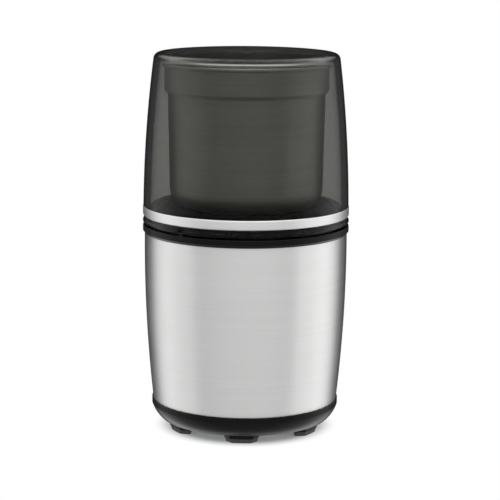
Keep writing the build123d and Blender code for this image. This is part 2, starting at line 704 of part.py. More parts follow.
# ---- Deck and casing ----
SLEEVE_FOOT = (SLEEVE_LOW_R, PAN_TOP)
SLEEVE_HEAD = (SLEEVE_TOP_R, SLEEVE_TOP)


def deck_shell():
    """The deck's turned section: collar, moat, platform and socket."""
    spigot_r = SLEEVE_TOP_R - SLEEVE_WALL - DECK_SPIGOT_FIT
    spigot_z = SLEEVE_TOP - DECK_SPIGOT_H
    lip_z = PLATFORM_Z - SOCKET_LIP_H
    platform_under = PLATFORM_Z - DECK_WALL
    shell = turned((DRIVE_HOLE_R, SOCKET_UNDER_Z), (SEAL_R, SOCKET_UNDER_Z), (SEAL_R, SOCKET_UNDER_Z - SEAL_H),
                   (SEAL_R + DECK_WALL, SOCKET_UNDER_Z - SEAL_H), (SEAL_R + DECK_WALL, SOCKET_UNDER_Z),
                   (SOCKET_R + DECK_WALL, SOCKET_UNDER_Z), (SOCKET_R + DECK_WALL, platform_under),
                   (PLATFORM_R - DECK_WALL, platform_under), (PLATFORM_R - DECK_WALL, spigot_z),
                   (spigot_r, spigot_z), (spigot_r, SLEEVE_TOP), (SLEEVE_TOP_R, SLEEVE_TOP),
                   (BODY_R, SLEEVE_TOP + COLLAR_CHAMFER_H), (BODY_R, COLLAR_TOP), (COLLAR_IN_R, COLLAR_TOP),
                   (COLLAR_IN_R, MOAT_Z), (PLATFORM_R, MOAT_Z), (PLATFORM_R, PLATFORM_Z),
                   (SOCKET_LIP_R, PLATFORM_Z), (SOCKET_LIP_R, lip_z), (SOCKET_R, lip_z), (SOCKET_R, SOCKET_Z),
                   (DRIVE_HOLE_R, SOCKET_Z))
    shell = rim_round(shell, BODY_R, COLLAR_TOP, COLLAR_ROUND)
    shell = rim_round(shell, COLLAR_IN_R, COLLAR_TOP, COLLAR_ROUND / 2)
    shell = rim_round(shell, PLATFORM_R, PLATFORM_Z, PLATFORM_ROUND)
    return rim_round(shell, SOCKET_LIP_R, PLATFORM_Z, PLATFORM_ROUND / 2)


def deck():
    """Deck moulding with its posts, bosses, ribs, lid keys, bayonet slots and stops."""
    platform_under = PLATFORM_Z - DECK_WALL
    whole = deck_shell()
    for azimuth in azimuths(POST_COUNT, POST_AZIMUTH):
        whole += at_azimuth(front(disc(POST_R, COLUMN_TOP, platform_under + OVER), POST_RING), azimuth)
        boss = disc(BOSS_R, PLATE_TOP + GROMMET_TOP, SOCKET_UNDER_Z + OVER)
        whole += at_azimuth(front(boss, MOUNT_RING), azimuth)
    rib_len = PLATFORM_R - SOCKET_R - 2 * DECK_WALL + OVER
    for azimuth in azimuths(DECK_RIBS, RIB_AZIMUTH):
        rib = block(RIB_T, rib_len, SOCKET_UNDER_Z + SLIDE_GAP, platform_under + OVER)
        whole += at_azimuth(front(rib, SOCKET_R + DECK_WALL + (rib_len - OVER) / 2), azimuth)
    for azimuth in azimuths(PIN_COUNT, KEY_AZIMUTH):
        key = block(KEY_W, BODY_R - COLLAR_IN_R - 2 * COLLAR_ROUND, COLLAR_TOP - OVER, COLLAR_TOP + KEY_H)
        whole += at_azimuth(front(key, (BODY_R + COLLAR_IN_R) / 2), azimuth)
    stop_turn = LUG_WIDTH / 2 + STOP_GAP + STOP_WIDTH / 2
    for azimuth in azimuths(LUG_COUNT, LUG_AZIMUTH):
        for stop in (azimuth - stop_turn, azimuth + UNLOCK_ANGLE + stop_turn):
            whole += sector(SOCKET_LIP_R + SLIDE_GAP / 2, SOCKET_R + OVER, SOCKET_Z - OVER,
                            PLATFORM_Z - SOCKET_LIP_H + OVER, stop, STOP_WIDTH)
        whole -= sector(SOCKET_LIP_R - OVER, SOCKET_R, PLATFORM_Z - SOCKET_LIP_H - OVER, PLATFORM_Z + OVER,
                        azimuth + UNLOCK_ANGLE, LUG_WIDTH + LUG_SLOT_PLAY)
    screw_top = FOOT_H + TIE_HEAD_RECESS + TIE_SCREW_LEN
    for azimuth in azimuths(POST_COUNT, POST_AZIMUTH):
        pilot = disc(TIE_SCREW_R + SCREW_PLAY, COLUMN_TOP - OVER, screw_top + PILOT_SPARE)
        whole -= at_azimuth(front(pilot, POST_RING), azimuth)
        mount_pilot = disc(TIE_SCREW_R + SCREW_PLAY, PLATE_TOP, MOUNT_SCREW_TOP + PILOT_SPARE / 2)
        whole -= at_azimuth(front(mount_pilot, MOUNT_RING), azimuth)
    for azimuth in azimuths(PIN_COUNT, PIN_AZIMUTH):
        hole = disc(PIN_R + SLIDE_GAP, SLEEVE_TOP - DECK_SPIGOT_H - OVER, MOAT_Z + OVER)
        whole -= at_azimuth(front(hole, PIN_RING), azimuth)
    return whole


def deck_seal():
    """Rubber ring round the drive coupling, under the socket floor."""
    return ring(COUPLING_R + SLIDE_GAP, SEAL_R - SEAT_FIT, SOCKET_UNDER_Z - SEAL_H, SOCKET_UNDER_Z)


def steel_sleeve():
    inner_foot = (SLEEVE_LOW_R - SLEEVE_WALL, PAN_TOP)
    inner_head = (SLEEVE_TOP_R - SLEEVE_WALL, SLEEVE_TOP)
    return (turned_bow(SLEEVE_FOOT, SLEEVE_HEAD, SLEEVE_BULGE)
            - turned_bow(inner_foot, inner_head, SLEEVE_BULGE))


def uprights(solid):
    """The edges that run from a solid's underside to its top."""
    height = solid.bounding_box().size.Z
    return solid.edges().filter_by(lambda e: abs((e @ 0).Z - (e @ 1).Z) > height * 0.9)


def foot_block(low_z, high_z, inset):
    """The part of one tapered foot that lies between two heights, at the front."""
    def share(z):
        return z / FOOT_H

    def outer(z):
        return FOOT_OUTER_R + FOOT_TOP_SPREAD * share(z) - inset

    def inner(z):
        return FOOT_OUTER_R - FOOT_DEPTH - FOOT_TOP_SPREAD * share(z) + inset

    def half_width(z):
        return (FOOT_WIDTH + (FOOT_WIDTH_TOP - FOOT_WIDTH) * share(z)) / 2 - inset

    curved = turned((inner(low_z), low_z), (outer(low_z), low_z), (outer(high_z), high_z), (inner(high_z), high_z))
    section = Polyline((-half_width(low_z), low_z), (half_width(low_z), low_z),
                       (half_width(high_z), high_z), (-half_width(high_z), high_z), close=True)
    prism = extrude(Plane.XZ * make_face(section), BODY_R)
    foot = curved & prism
    foot = chamfer(uprights(foot).sort_by(Axis.Y)[:2], FOOT_CUT)
    return fillet(uprights(foot), FOOT_ROUND - inset)


def foot_pad():
    pad = foot_block(0, PAD_H, PAD_INSET)
    return fillet(pad.faces().sort_by(Axis.Z)[0].edges(), PAD_EDGE_ROUND)


def base_pan():
    """Rounded base with the foot bosses, the screw columns and the hole for the cord gland."""
    rim_low = PAN_TOP - PAN_RIM_H
    collar_r = SLEEVE_LOW_R - SLEEVE_WALL - PAN_COLLAR_FIT
    inner_r = collar_r - PAN_WALL
    ledge_r = COVER_R - COVER_LEDGE
    rise = rim_low - FOOT_H
    share = PAN_FLANK_BULGE / hypot(rise, PAN_FLARE)
    middle = ((PAN_FLOOR_R + PAN_R) / 2 + rise * share, 0, (FOOT_H + rim_low) / 2 - PAN_FLARE * share)
    flank = ThreePointArc((PAN_FLOOR_R, 0, FOOT_H), middle, (PAN_R, 0, rim_low))
    rest = Polyline((PAN_R, 0, rim_low), (PAN_R, 0, PAN_TOP), (collar_r, 0, PAN_TOP),
                    (collar_r, 0, PAN_TOP + PAN_COLLAR_H), (inner_r, 0, PAN_TOP + PAN_COLLAR_H),
                    (inner_r, 0, FLOOR_TOP + PAN_WALL), (inner_r - PAN_WALL, 0, FLOOR_TOP),
                    (ledge_r, 0, FLOOR_TOP), (ledge_r, 0, FOOT_H + COVER_T), (COVER_R, 0, FOOT_H + COVER_T),
                    (COVER_R, 0, FOOT_H), (PAN_FLOOR_R, 0, FOOT_H))
    pan = revolve(make_face(flank.edges() + rest.edges()), Axis.Z)
    pan = rim_round(pan, PAN_FLOOR_R, FOOT_H, PAN_EDGE_ROUND)
    for azimuth in azimuths(FOOT_COUNT, FOOT_AZIMUTH):
        pan += at_azimuth(foot_block(PAD_H, FOOT_H, 0), azimuth)
    for azimuth in azimuths(POST_COUNT, POST_AZIMUTH):
        pan += at_azimuth(front(disc(COLUMN_R, FLOOR_TOP - COLUMN_SINK, COLUMN_TOP), POST_RING), azimuth)
        boss = disc(COVER_BOSS_R, FLOOR_TOP - OVER, FLOOR_TOP + COVER_BOSS_H)
        pan += at_azimuth(front(boss, COVER_SCREW_RING), azimuth)
    for azimuth in azimuths(POST_COUNT, POST_AZIMUTH):
        recess = disc(TIE_HEAD_R + SLIDE_GAP, FOOT_H - OVER, FOOT_H + TIE_HEAD_RECESS)
        shank = disc(TIE_SCREW_R + SCREW_PLAY, FOOT_H, COLUMN_TOP + OVER)
        cover_shank = disc(COVER_SCREW_R + SCREW_PLAY, FOOT_H, FOOT_H + COVER_SCREW_LEN + PILOT_SPARE / 2)
        pan -= at_azimuth(front(recess + shank, POST_RING), azimuth)
        pan -= at_azimuth(front(cover_shank, COVER_SCREW_RING), azimuth)
    return pan - gland_bore(GLAND_R + SEAT_FIT, PAN_R - GLAND_LEN, PAN_R + OVER)


def gland_bore(radius, near_y, far_y):
    """A cylinder along Y at the rear, between two distances from the axis."""
    length = far_y - near_y
    return Pos(0, (near_y + far_y) / 2, GLAND_Z) * Rot(90, 0, 0) * Cylinder(radius, length)


def cord_gland():
    """Rubber bush that lines the cord's hole, with a flange outside."""
    far_y = PAN_R + GLAND_FLANGE_T
    near_y = far_y - GLAND_LEN
    body = gland_bore(GLAND_R, near_y, far_y) + gland_bore(GLAND_FLANGE_R, PAN_R, far_y)
    return body - gland_bore(GLAND_BORE_R, near_y - OVER, far_y + OVER)


def bottom_cover():
    """Round plate with radial vents for the motor's air."""
    plate = disc(COVER_R - SLIDE_GAP, FOOT_H, FOOT_H + COVER_T)
    vent_len = VENT_OUT_R - VENT_IN_R
    for azimuth in azimuths(VENT_COUNT, 0):
        vent = extrude(Rot(0, 0, 90) * SlotOverall(vent_len, VENT_W), COVER_T * 4, both=True)
        plate -= at_azimuth(front(vent, (VENT_OUT_R + VENT_IN_R) / 2, FOOT_H), azimuth)
    for azimuth in azimuths(POST_COUNT, POST_AZIMUTH):
        hole = disc(COVER_SCREW_R + SCREW_PLAY, FOOT_H - OVER, FOOT_H + COVER_T + OVER)
        plate -= at_azimuth(front(hole, COVER_SCREW_RING), azimuth)
    return plate


def cover_screws():
    one = screw(COVER_SCREW_R, FOOT_H, FOOT_H + COVER_SCREW_LEN, COVER_HEAD_R, COVER_HEAD_H)
    return [at_azimuth(front(one, COVER_SCREW_RING), a) for a in azimuths(POST_COUNT, POST_AZIMUTH)]


def body_screws():
    low_z = FOOT_H + TIE_HEAD_RECESS
    one = screw(TIE_SCREW_R, low_z, low_z + TIE_SCREW_LEN, TIE_HEAD_R, TIE_HEAD_H)
    return [at_azimuth(front(one, POST_RING), a) for a in azimuths(POST_COUNT, POST_AZIMUTH)]


# ---- Press ring ----
def press_ring():
    """Ring under the moat: push pins that carry the lid, spring ears and the switch finger."""
    top_z = PRESS_RING_Z + PRESS_RING_T
    whole = ring(PRESS_RING_IN_R, PRESS_RING_OUT_R, PRESS_RING_Z, top_z)
    ear_in = SPRING_RING - SPRING_R - SPRING_MARGIN
    ear_len = PRESS_RING_IN_R + OVER - ear_in
    for azimuth in azimuths(PIN_COUNT, PIN_AZIMUTH):
        ear = front(block(EAR_W, ear_len, PRESS_RING_Z, top_z), ear_in + ear_len / 2)
        whole += at_azimuth(ear, azimuth)
        whole += at_azimuth(front(disc(PIN_R, top_z - OVER, SPIGOT_Z), PIN_RING), azimuth)
    arm_in = SWITCH_X - LEVER_W / 2
    arm_len = PRESS_RING_IN_R + ARM_LAP - arm_in
    arm = Pos(arm_in + arm_len / 2, FINGER_Y, 0) * block(arm_len, ARM_W, PRESS_RING_Z, top_z)
    finger_z = PLATE_TOP + LEVER_LIFT + LEVER_T + SLIDE_GAP
    finger = Pos(SWITCH_X, FINGER_Y, 0) * block(LEVER_W, FINGER_T, finger_z, PRESS_RING_Z + OVER)
    return whole + arm + finger


def return_spring(azimuth):
    coil = coil_spring(SPRING_R, SPRING_WIRE_R, PLATE_TOP, PRESS_RING_Z, SPRING_TURNS)
    return at_azimuth(front(coil, SPRING_RING), azimuth)


# ---- Safety switch ----
def across_switch(radius, length):
    """A cylinder on the lever's pivot."""
    return Pos(SWITCH_X, LEVER_PIVOT_Y, PLATE_TOP + LEVER_LIFT) * Rot(0, 90, 0) * Cylinder(radius, length)


def switch_body():
    """Snap-action switch case with two ears for the lever's pin."""
    case = Pos(SWITCH_X, 0, 0) * block(SWITCH_W, SWITCH_LEN, PLATE_TOP, PLATE_TOP + SWITCH_H)
    pin_z = PLATE_TOP + LEVER_LIFT
    for side in (-1, 1):
        ear = block(SWITCH_EAR_T, SWITCH_EAR_LEN, PLATE_TOP + SWITCH_H - OVER, pin_z + SWITCH_EAR_TOP)
        case += Pos(SWITCH_X + side * (SWITCH_W - SWITCH_EAR_T) / 2, LEVER_PIVOT_Y, 0) * ear
    pin_hole = across_switch(LEVER_PIN_R + SEAT_FIT, SWITCH_W + 2 * OVER)
    well = disc(BUTTON_R + SLIDE_GAP, PLATE_TOP + SWITCH_FLOOR, PLATE_TOP + SWITCH_H + OVER)
    return case - pin_hole - Pos(SWITCH_X, BUTTON_Y, 0) * well


def switch_button():
    low_z = PLATE_TOP + SWITCH_FLOOR + BUTTON_TRAVEL + SLIDE_GAP
    return Pos(SWITCH_X, BUTTON_Y, 0) * disc(BUTTON_R, low_z, PLATE_TOP + LEVER_LIFT - SLIDE_GAP)


def switch_lever():
    """Leaf lever that turns on its pin over the button."""
    low_z = PLATE_TOP + LEVER_LIFT
    leaf = Pos(SWITCH_X, LEVER_PIVOT_Y + LEVER_REACH / 2, 0) * block(LEVER_W, LEVER_REACH, low_z, low_z + LEVER_T)
    eye = across_switch(LEVER_EYE_R, LEVER_W)
    return leaf + eye - across_switch(LEVER_PIN_R + RUNNING_FIT, LEVER_W + 2 * OVER)


def switch_pin():
    return across_switch(LEVER_PIN_R, SWITCH_W)


# ---- Motor frame ----
def bolt_places():
    return [(x, y) for x in (-BOLT_X, BOLT_X) for y in (-BOLT_Y, BOLT_Y)]


def plate_hole(radius):
    """A round cut through the motor plate, on the axis."""
    return disc(radius, PLATE_Z - OVER, PLATE_TOP + OVER)


def motor_plate():
    """Pressed plate that hangs the motor from the deck and carries the upper bearing and the springs."""
    cup_top = PLATE_TOP + BEARING_H + BEARING_CUP_FLOOR
    peg = disc(SPRING_PEG_R, PLATE_TOP - OVER, PLATE_TOP + SPRING_PEG_H)
    whole = disc(PLATE_R, PLATE_Z, PLATE_TOP) + disc(BEARING_R + BEARING_CUP_WALL, PLATE_Z, cup_top)
    for azimuth in azimuths(PIN_COUNT, PIN_AZIMUTH):
        whole += at_azimuth(front(peg, SPRING_RING), azimuth)
    for azimuth in azimuths(POST_COUNT, POST_AZIMUTH):
        whole -= at_azimuth(front(plate_hole(POST_R + PLATE_POST_GAP), POST_RING), azimuth)
        whole -= at_azimuth(front(plate_hole(GROMMET_NECK_R + SEAT_FIT), MOUNT_RING), azimuth)
    vent = Rot(0, 0, 90) * SlotOverall(PLATE_VENT_LEN, PLATE_VENT_W)
    for azimuth in azimuths(PLATE_VENTS, PIN_AZIMUTH):
        opening = front(extrude(vent, PLATE_T * 4, both=True), PLATE_VENT_RING, PLATE_Z)
        whole -= at_azimuth(opening, azimuth)
    for x, y in bolt_places():
        whole -= Pos(x, y, 0) * plate_hole(BOLT_R + SCREW_PLAY)
    return whole - disc(BEARING_R + SEAT_FIT, PLATE_TOP, cup_top + OVER) - plate_hole(SHAFT_R + SHAFT_HOLE_PLAY)


def lower_bracket():
    """Moulded bridge with the lower bearing cup, under the brush holders."""
    cup_top = BEARING_LOW_Z + BEARING_H
    plate = extrude(RectangleRounded(BRACKET_X, BRACKET_Y, STATOR_ROUND), BRACKET_T)
    whole = Pos(0, 0, BRACKET_Z) * plate + disc(BEARING_R + BEARING_CUP_WALL, BRACKET_Z, cup_top)
    for x in (-BRACKET_OPENING_X, BRACKET_OPENING_X):
        whole -= Pos(x, 0, 0) * block(*BRACKET_OPENING, BRACKET_Z - OVER, BRACKET_TOP + OVER)
    for x, y in bolt_places():
        whole -= Pos(x, y, 0) * disc(BOLT_R + SCREW_PLAY, BRACKET_Z - OVER, BRACKET_TOP + OVER)
    cup = disc(BEARING_R + SEAT_FIT, BEARING_LOW_Z, cup_top + OVER)
    return whole - cup - disc(SHAFT_R + SHAFT_HOLE_PLAY, BRACKET_Z - OVER, BEARING_LOW_Z + OVER)


def bearing(low_z):
    """Sintered bearing with a rounded upper edge."""
    body = ring(SHAFT_R + RUNNING_FIT, BEARING_R, low_z, low_z + BEARING_H)
    return rim_round(body, BEARING_R, low_z + BEARING_H, BEARING_CHAMFER)


def motor_bolts():
    one = disc(BOLT_R, BRACKET_Z, PLATE_TOP + BOLT_HEAD_H + BOLT_SPARE)
    one += disc(BOLT_HEAD_R, BRACKET_Z - BOLT_HEAD_H, BRACKET_Z)
    one += Pos(0, 0, PLATE_TOP) * extrude(RegularPolygon(BOLT_HEAD_R, 6), BOLT_HEAD_H)
    return [Pos(x, y, 0) * one for x, y in bolt_places()]


def motor_spacers():
    upper = ring(BOLT_R + SCREW_PLAY, SPACER_R, STACK_TOP, PLATE_Z)
    lower = ring(BOLT_R + SCREW_PLAY, SPACER_R, BRACKET_TOP, STACK_Z)
    return [Pos(x, y, 0) * tube for x, y in bolt_places() for tube in (upper, lower)]


def motor_grommets():
    low_z, high_z = MOUNT_SCREW_LOW, PLATE_TOP + GROMMET_TOP
    one = turned((GROMMET_BORE_R, low_z), (GROMMET_R, low_z), (GROMMET_R, PLATE_Z), (GROMMET_NECK_R, PLATE_Z),
                 (GROMMET_NECK_R, PLATE_TOP), (GROMMET_R, PLATE_TOP), (GROMMET_R, high_z), (GROMMET_BORE_R, high_z))
    return [at_azimuth(front(one, MOUNT_RING), a) for a in azimuths(POST_COUNT, POST_AZIMUTH)]


def mount_screws():
    one = screw(TIE_SCREW_R, MOUNT_SCREW_LOW, MOUNT_SCREW_TOP, TIE_HEAD_R, TIE_HEAD_H)
    return [at_azimuth(front(one, MOUNT_RING), a) for a in azimuths(POST_COUNT, POST_AZIMUTH)]


# ---- Motor: stator ----
def stator_core():
    """Laminated two-pole stack."""
    shoe_r = BORE_R + POLE_SHOE_T
    shoes = Circle(shoe_r) & Rectangle(2 * (shoe_r + OVER), POLE_SHOE_W)
    shoes -= Rectangle(BORE_R * POLE_GAP_SHARE, STATOR_Y)
    section = RectangleRounded(STATOR_X, STATOR_Y, STATOR_ROUND) - RectangleRounded(WINDOW_X, WINDOW_Y, WINDOW_ROUND)
    section += Rectangle(WINDOW_X + 2 * OVER, POLE_W) - Rectangle(2 * BORE_R, POLE_W + 2 * OVER)
    section = section + shoes - Circle(BORE_R)
    stack = Pos(0, 0, STACK_Z) * extrude(section, STACK_H)
    for x, y in bolt_places():
        stack -= Pos(x, y, 0) * disc(BOLT_R + SCREW_PLAY, STACK_Z - OVER, STACK_TOP + OVER)
    return stack


def field_coil(side):
    """Coil wound round one pole."""
    centre_x = side * (WINDOW_X / 2 - COIL_T / 2 - SLIDE_GAP)
    coil = block(COIL_T, COIL_W, STACK_Z - END_TURN_H, STACK_TOP + END_TURN_H)
    coil = fillet(coil.edges().filter_by(Axis.X), END_TURN_H * 0.9)
    hole = block(COIL_T + 2 * OVER, POLE_W + 2 * SLIDE_GAP, STACK_Z - SLIDE_GAP, STACK_TOP + SLIDE_GAP)
    return Pos(centre_x, 0, 0) * (coil - hole)


# ---- Motor: armature ----
def armature_core():
    section = Circle(ARMATURE_R) - Circle(SHAFT_R + SEAT_FIT)
    slot = Pos(0, -(ARMATURE_R - (SLOT_DEPTH - OVER) / 2)) * Rectangle(SLOT_W, SLOT_DEPTH + OVER)
    for azimuth in azimuths(ARMATURE_SLOTS, 0):
        section -= Rot(0, 0, azimuth) * slot
    return Pos(0, 0, STACK_Z) * extrude(section, STACK_H)


def armature_winding():
    """Copper in the slots, joined by the end turns above and below the stack."""
    inner_r = SHAFT_R + END_TURN_BORE
    outer_r = ARMATURE_R - END_TURN_INSET
    low_z, high_z = STACK_Z - END_TURN_H, STACK_TOP + END_TURN_H
    low = rim_round(ring(inner_r, outer_r, low_z, STACK_Z), outer_r, low_z, END_TURN_ROUND)
    high = rim_round(ring(inner_r, outer_r, STACK_TOP, high_z), outer_r, high_z, END_TURN_ROUND)
    bar_len = SLOT_DEPTH - END_TURN_INSET
    bar = front(block(SLOT_W - 2 * SEAT_FIT, bar_len, STACK_Z - OVER, STACK_TOP + OVER),
                ARMATURE_R - SLOT_DEPTH + bar_len / 2 + SEAT_FIT)
    return joined([low, high] + [at_azimuth(bar, a) for a in azimuths(ARMATURE_SLOTS, 0)])


def commutator():
    body = ring(SHAFT_R + SEAT_FIT, COMMUTATOR_R, COMMUTATOR_Z, COMMUTATOR_Z + COMMUTATOR_H)
    cut = front(block(COMMUTATOR_CUT_W, 2 * COMMUTATOR_CUT_DEPTH, COMMUTATOR_Z - OVER,
                      COMMUTATOR_Z + COMMUTATOR_H + OVER), COMMUTATOR_R)
    for azimuth in azimuths(COMMUTATOR_BARS, 180 / COMMUTATOR_BARS):
        body -= at_azimuth(cut, azimuth)
    return body


def motor_shaft():
    return disc(SHAFT_R, SHAFT_LOW_Z, DRIVE_TOP_Z)


def fan():
    """Radial fan: a hub and a plate with upright blades."""
    whole = disc(SHAFT_R + FAN_HUB_W, FAN_Z, FAN_Z + FAN_H) + disc(FAN_R, FAN_Z, FAN_Z + FAN_T)
    blade_in = SHAFT_R + FAN_BLADE_START
    blade_len = FAN_R - FAN_RIM - blade_in
    wing = block(FAN_T, blade_len, FAN_Z, FAN_Z + FAN_H)
    for azimuth in azimuths(FAN_BLADES, 0):
        whole += at_azimuth(front(Rot(0, 0, FAN_RAKE) * wing, blade_in + blade_len / 2), azimuth)
    return whole - disc(SHAFT_R + SEAT_FIT, FAN_Z - OVER, FAN_Z + FAN_H + OVER)


# ---- Brushes ----
def brush_holder(side):
    """Box that guides one brush, standing on the lower bracket."""
    wide = BRUSH_W + 2 * HOLDER_WALL + 2 * SLIDE_GAP
    top_z = BRUSH_Z + BRUSH_H / 2 + HOLDER_WALL + SLIDE_GAP
    whole = Pos(0, HOLDER_START + HOLDER_LEN / 2, 0) * block(wide, HOLDER_LEN, BRACKET_TOP, top_z)
    channel = Pos(0, HOLDER_START + HOLDER_LEN / 2 - HOLDER_WALL, BRUSH_Z) * Box(
        BRUSH_W + 2 * SLIDE_GAP, HOLDER_LEN, BRUSH_H + 2 * SLIDE_GAP)
    return Rot(0, 0, 90 - 90 * side) * (whole - channel)


def carbon_brush(side):
    near = COMMUTATOR_R + RUNNING_FIT
    stick = Pos(0, near + BRUSH_LEN / 2 - BRUSH_BITE, BRUSH_Z) * Box(BRUSH_W, BRUSH_LEN, BRUSH_H)
    return Rot(0, 0, 90 - 90 * side) * (stick - disc(near, BRUSH_Z - BRUSH_H, BRUSH_Z + BRUSH_H))


def brush_spring(side):
    near = COMMUTATOR_R + RUNNING_FIT + BRUSH_LEN - BRUSH_BITE
    far = HOLDER_START + HOLDER_LEN - HOLDER_WALL
    coil = coil_spring(BRUSH_SPRING_R, BRUSH_WIRE_R, near, far, BRUSH_SPRING_TURNS)
    return Rot(0, 0, 90 - 90 * side) * Pos(0, 0, BRUSH_Z) * Rot(-90, 0, 0) * coil


# ---- Wiring ----
def terminal_block():
    x_size, y_size, z_size = BLOCK_SIZE
    top_z = FLOOR_TOP + z_size
    body = Pos(*BLOCK_PLACE, 0) * block(x_size, y_size, FLOOR_TOP, top_z)
    for shift in (-x_size / 4, x_size / 4):
        well = disc(BLOCK_WELL_R, top_z - BLOCK_WELL_DEPTH, top_z + OVER)
        body -= Pos(BLOCK_PLACE[0] + shift, BLOCK_PLACE[1], 0) * well
    return body


def ring_point(azimuth, z):
    """A point on the ring where the leads run inside the sleeve."""
    return (LEAD_RING * sin(radians(azimuth)), -LEAD_RING * cos(radians(azimuth)), z)


def lead(points, radius):
    """An insulated wire of straight runs joined by arcs."""
    path = FilletPolyline(*points, radius=radius)
    return sweep(Plane(path @ 0, z_dir=path % 0) * Circle(LEAD_R), path=path)


def internal_leads():
    """Block to switch, block to the rear brush, switch to the front brush."""
    block_top = FLOOR_TOP + BLOCK_SIZE[2]
    block_x, block_y = BLOCK_PLACE
    run_z = PLATE_TOP + LEAD_LIFT
    holder_end = HOLDER_START + HOLDER_LEN
    switch_end = SWITCH_LEN / 2
    near_x, near_y = block_x + LEAD_SHIFT, block_y + LEAD_SET[0]
    far_x, far_y = block_x - LEAD_SHIFT, block_y + LEAD_SET[1]
    to_switch = lead([(near_x, near_y, block_top), (near_x, near_y, block_top + BLOCK_STUB),
                      ring_point(164, block_top + LEAD_CLIMB), ring_point(164, run_z - LEAD_BOW), ring_point(157, run_z),
                      ring_point(143, run_z), ring_point(129, run_z), ring_point(114, run_z),
                      (SWITCH_X, switch_end + LEAD_EXIT, run_z), (SWITCH_X, switch_end, run_z)], LEAD_BEND)
    to_rear = lead([(far_x, far_y, block_top), (far_x, far_y, BRUSH_Z - BRUSH_APPROACH),
                    (0, holder_end + LEAD_EXIT_TIGHT, BRUSH_Z), (0, holder_end, BRUSH_Z)], LEAD_BEND_TIGHT)
    to_front = lead([(SWITCH_X, -switch_end, run_z), (SWITCH_X, -switch_end - LEAD_EXIT, run_z),
                     ring_point(64, run_z), ring_point(52, run_z - LEAD_SWING), ring_point(46, BRUSH_Z + LEAD_CLIMB),
                     ring_point(30, BRUSH_Z + LEAD_EXIT), ring_point(14, BRUSH_Z), (0, -holder_end - LEAD_EXIT, BRUSH_Z),
                     (0, -holder_end, BRUSH_Z)], LEAD_BEND)
    return [to_switch, to_rear, to_front]


NODES = {
    "lid": lid, "lid_trim_ring": lid_trim_ring,
    "bowl": bowl, "bowl_foot": bowl_foot, "bowl_gasket": bowl_gasket, "bowl_nut": bowl_nut,
    "blade_bush": blade_bush, "shaft_seal": shaft_seal,
    "blade_shaft": blade_shaft, "blade": blade, "blade_nut": blade_nut, "blade_coupling": blade_coupling,
    "deck": deck, "deck_seal": deck_seal, "steel_sleeve": steel_sleeve, "base_pan": base_pan,
    "bottom_cover": bottom_cover, "cover_screws": cover_screws, "body_screws": body_screws,
    "cord_gland": cord_gland,
    "press_ring": press_ring, "switch_body": switch_body, "switch_button": switch_button,
    "switch_lever": switch_lever, "switch_pin": switch_pin,
    "motor_plate": motor_plate, "lower_bracket": lower_bracket, "motor_bolts": motor_bolts,
    "motor_spacers": motor_spacers, "motor_grommets": motor_grommets, "mount_screws": mount_screws,
    "bearing_upper": lambda: bearing(PLATE_TOP), "bearing_lower": lambda: bearing(BEARING_LOW_Z),
    "stator_core": stator_core, "field_coil_left": lambda: field_coil(-1), "field_coil_right": lambda: field_coil(1),
    "armature_core": armature_core, "armature_winding": armature_winding, "commutator": commutator,
    "motor_shaft": motor_shaft, "fan": fan, "drive_coupling": drive_coupling,
    "brush_holder_front": lambda: brush_holder(-1), "brush_holder_rear": lambda: brush_holder(1),
    "carbon_brush_front": lambda: carbon_brush(-1), "carbon_brush_rear": lambda: carbon_brush(1),
    "brush_spring_front": lambda: brush_spring(-1), "brush_spring_rear": lambda: brush_spring(1),
    "terminal_block": terminal_block, "internal_leads": internal_leads,
}


def write(name, made):
    """Write one node: a solid, or a list of separate solids kept side by side."""
    if isinstance(made, list):
        made = Compound(children=[solid for piece in made for solid in piece.solids()])
    export_step(made, "parts/" + name + ".step")


os.makedirs("parts", exist_ok=True)
for node_name, make in NODES.items():
    write(node_name, make())
for number, angle in enumerate(azimuths(FOOT_COUNT, FOOT_AZIMUTH), 1):
    write("foot_pad_" + str(number), at_azimuth(foot_pad(), angle))
for number, angle in enumerate(azimuths(PIN_COUNT, PIN_AZIMUTH), 1):
    write("return_spring_" + str(number), return_spring(angle))
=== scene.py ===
"""Electric spice grinder: smoked lid over a steel bowl, brushed steel motor base on rubber feet.

Lengths are in metres, +Z is up, the front is -Y and the machine's axis is the Z axis.
Turned pieces are spun from an outline of (radius, height) corners.
"""

import json
import math

import bmesh
import bpy
from bpy.props import FloatProperty, FloatVectorProperty, IntProperty, PointerProperty
from mathutils import Euler, Matrix, Quaternion, Vector


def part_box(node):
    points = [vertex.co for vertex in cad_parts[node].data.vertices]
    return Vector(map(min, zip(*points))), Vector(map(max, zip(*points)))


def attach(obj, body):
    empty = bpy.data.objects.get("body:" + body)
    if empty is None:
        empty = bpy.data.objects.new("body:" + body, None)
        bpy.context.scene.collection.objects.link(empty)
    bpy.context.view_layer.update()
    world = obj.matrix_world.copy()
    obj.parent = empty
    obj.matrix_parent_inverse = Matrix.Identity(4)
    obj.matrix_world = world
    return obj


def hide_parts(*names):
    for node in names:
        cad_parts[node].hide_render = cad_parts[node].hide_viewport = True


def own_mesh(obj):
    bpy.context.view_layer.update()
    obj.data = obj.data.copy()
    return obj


bl_info = {
    "name": "Spice grinder",
    "version": (1, 0, 0),
    "blender": (4, 5, 0),
    "location": "3D View > Sidebar > Grinder",
    "description": "Dresses the spice grinder's frame and sets its studio",
    "category": "Object",
}

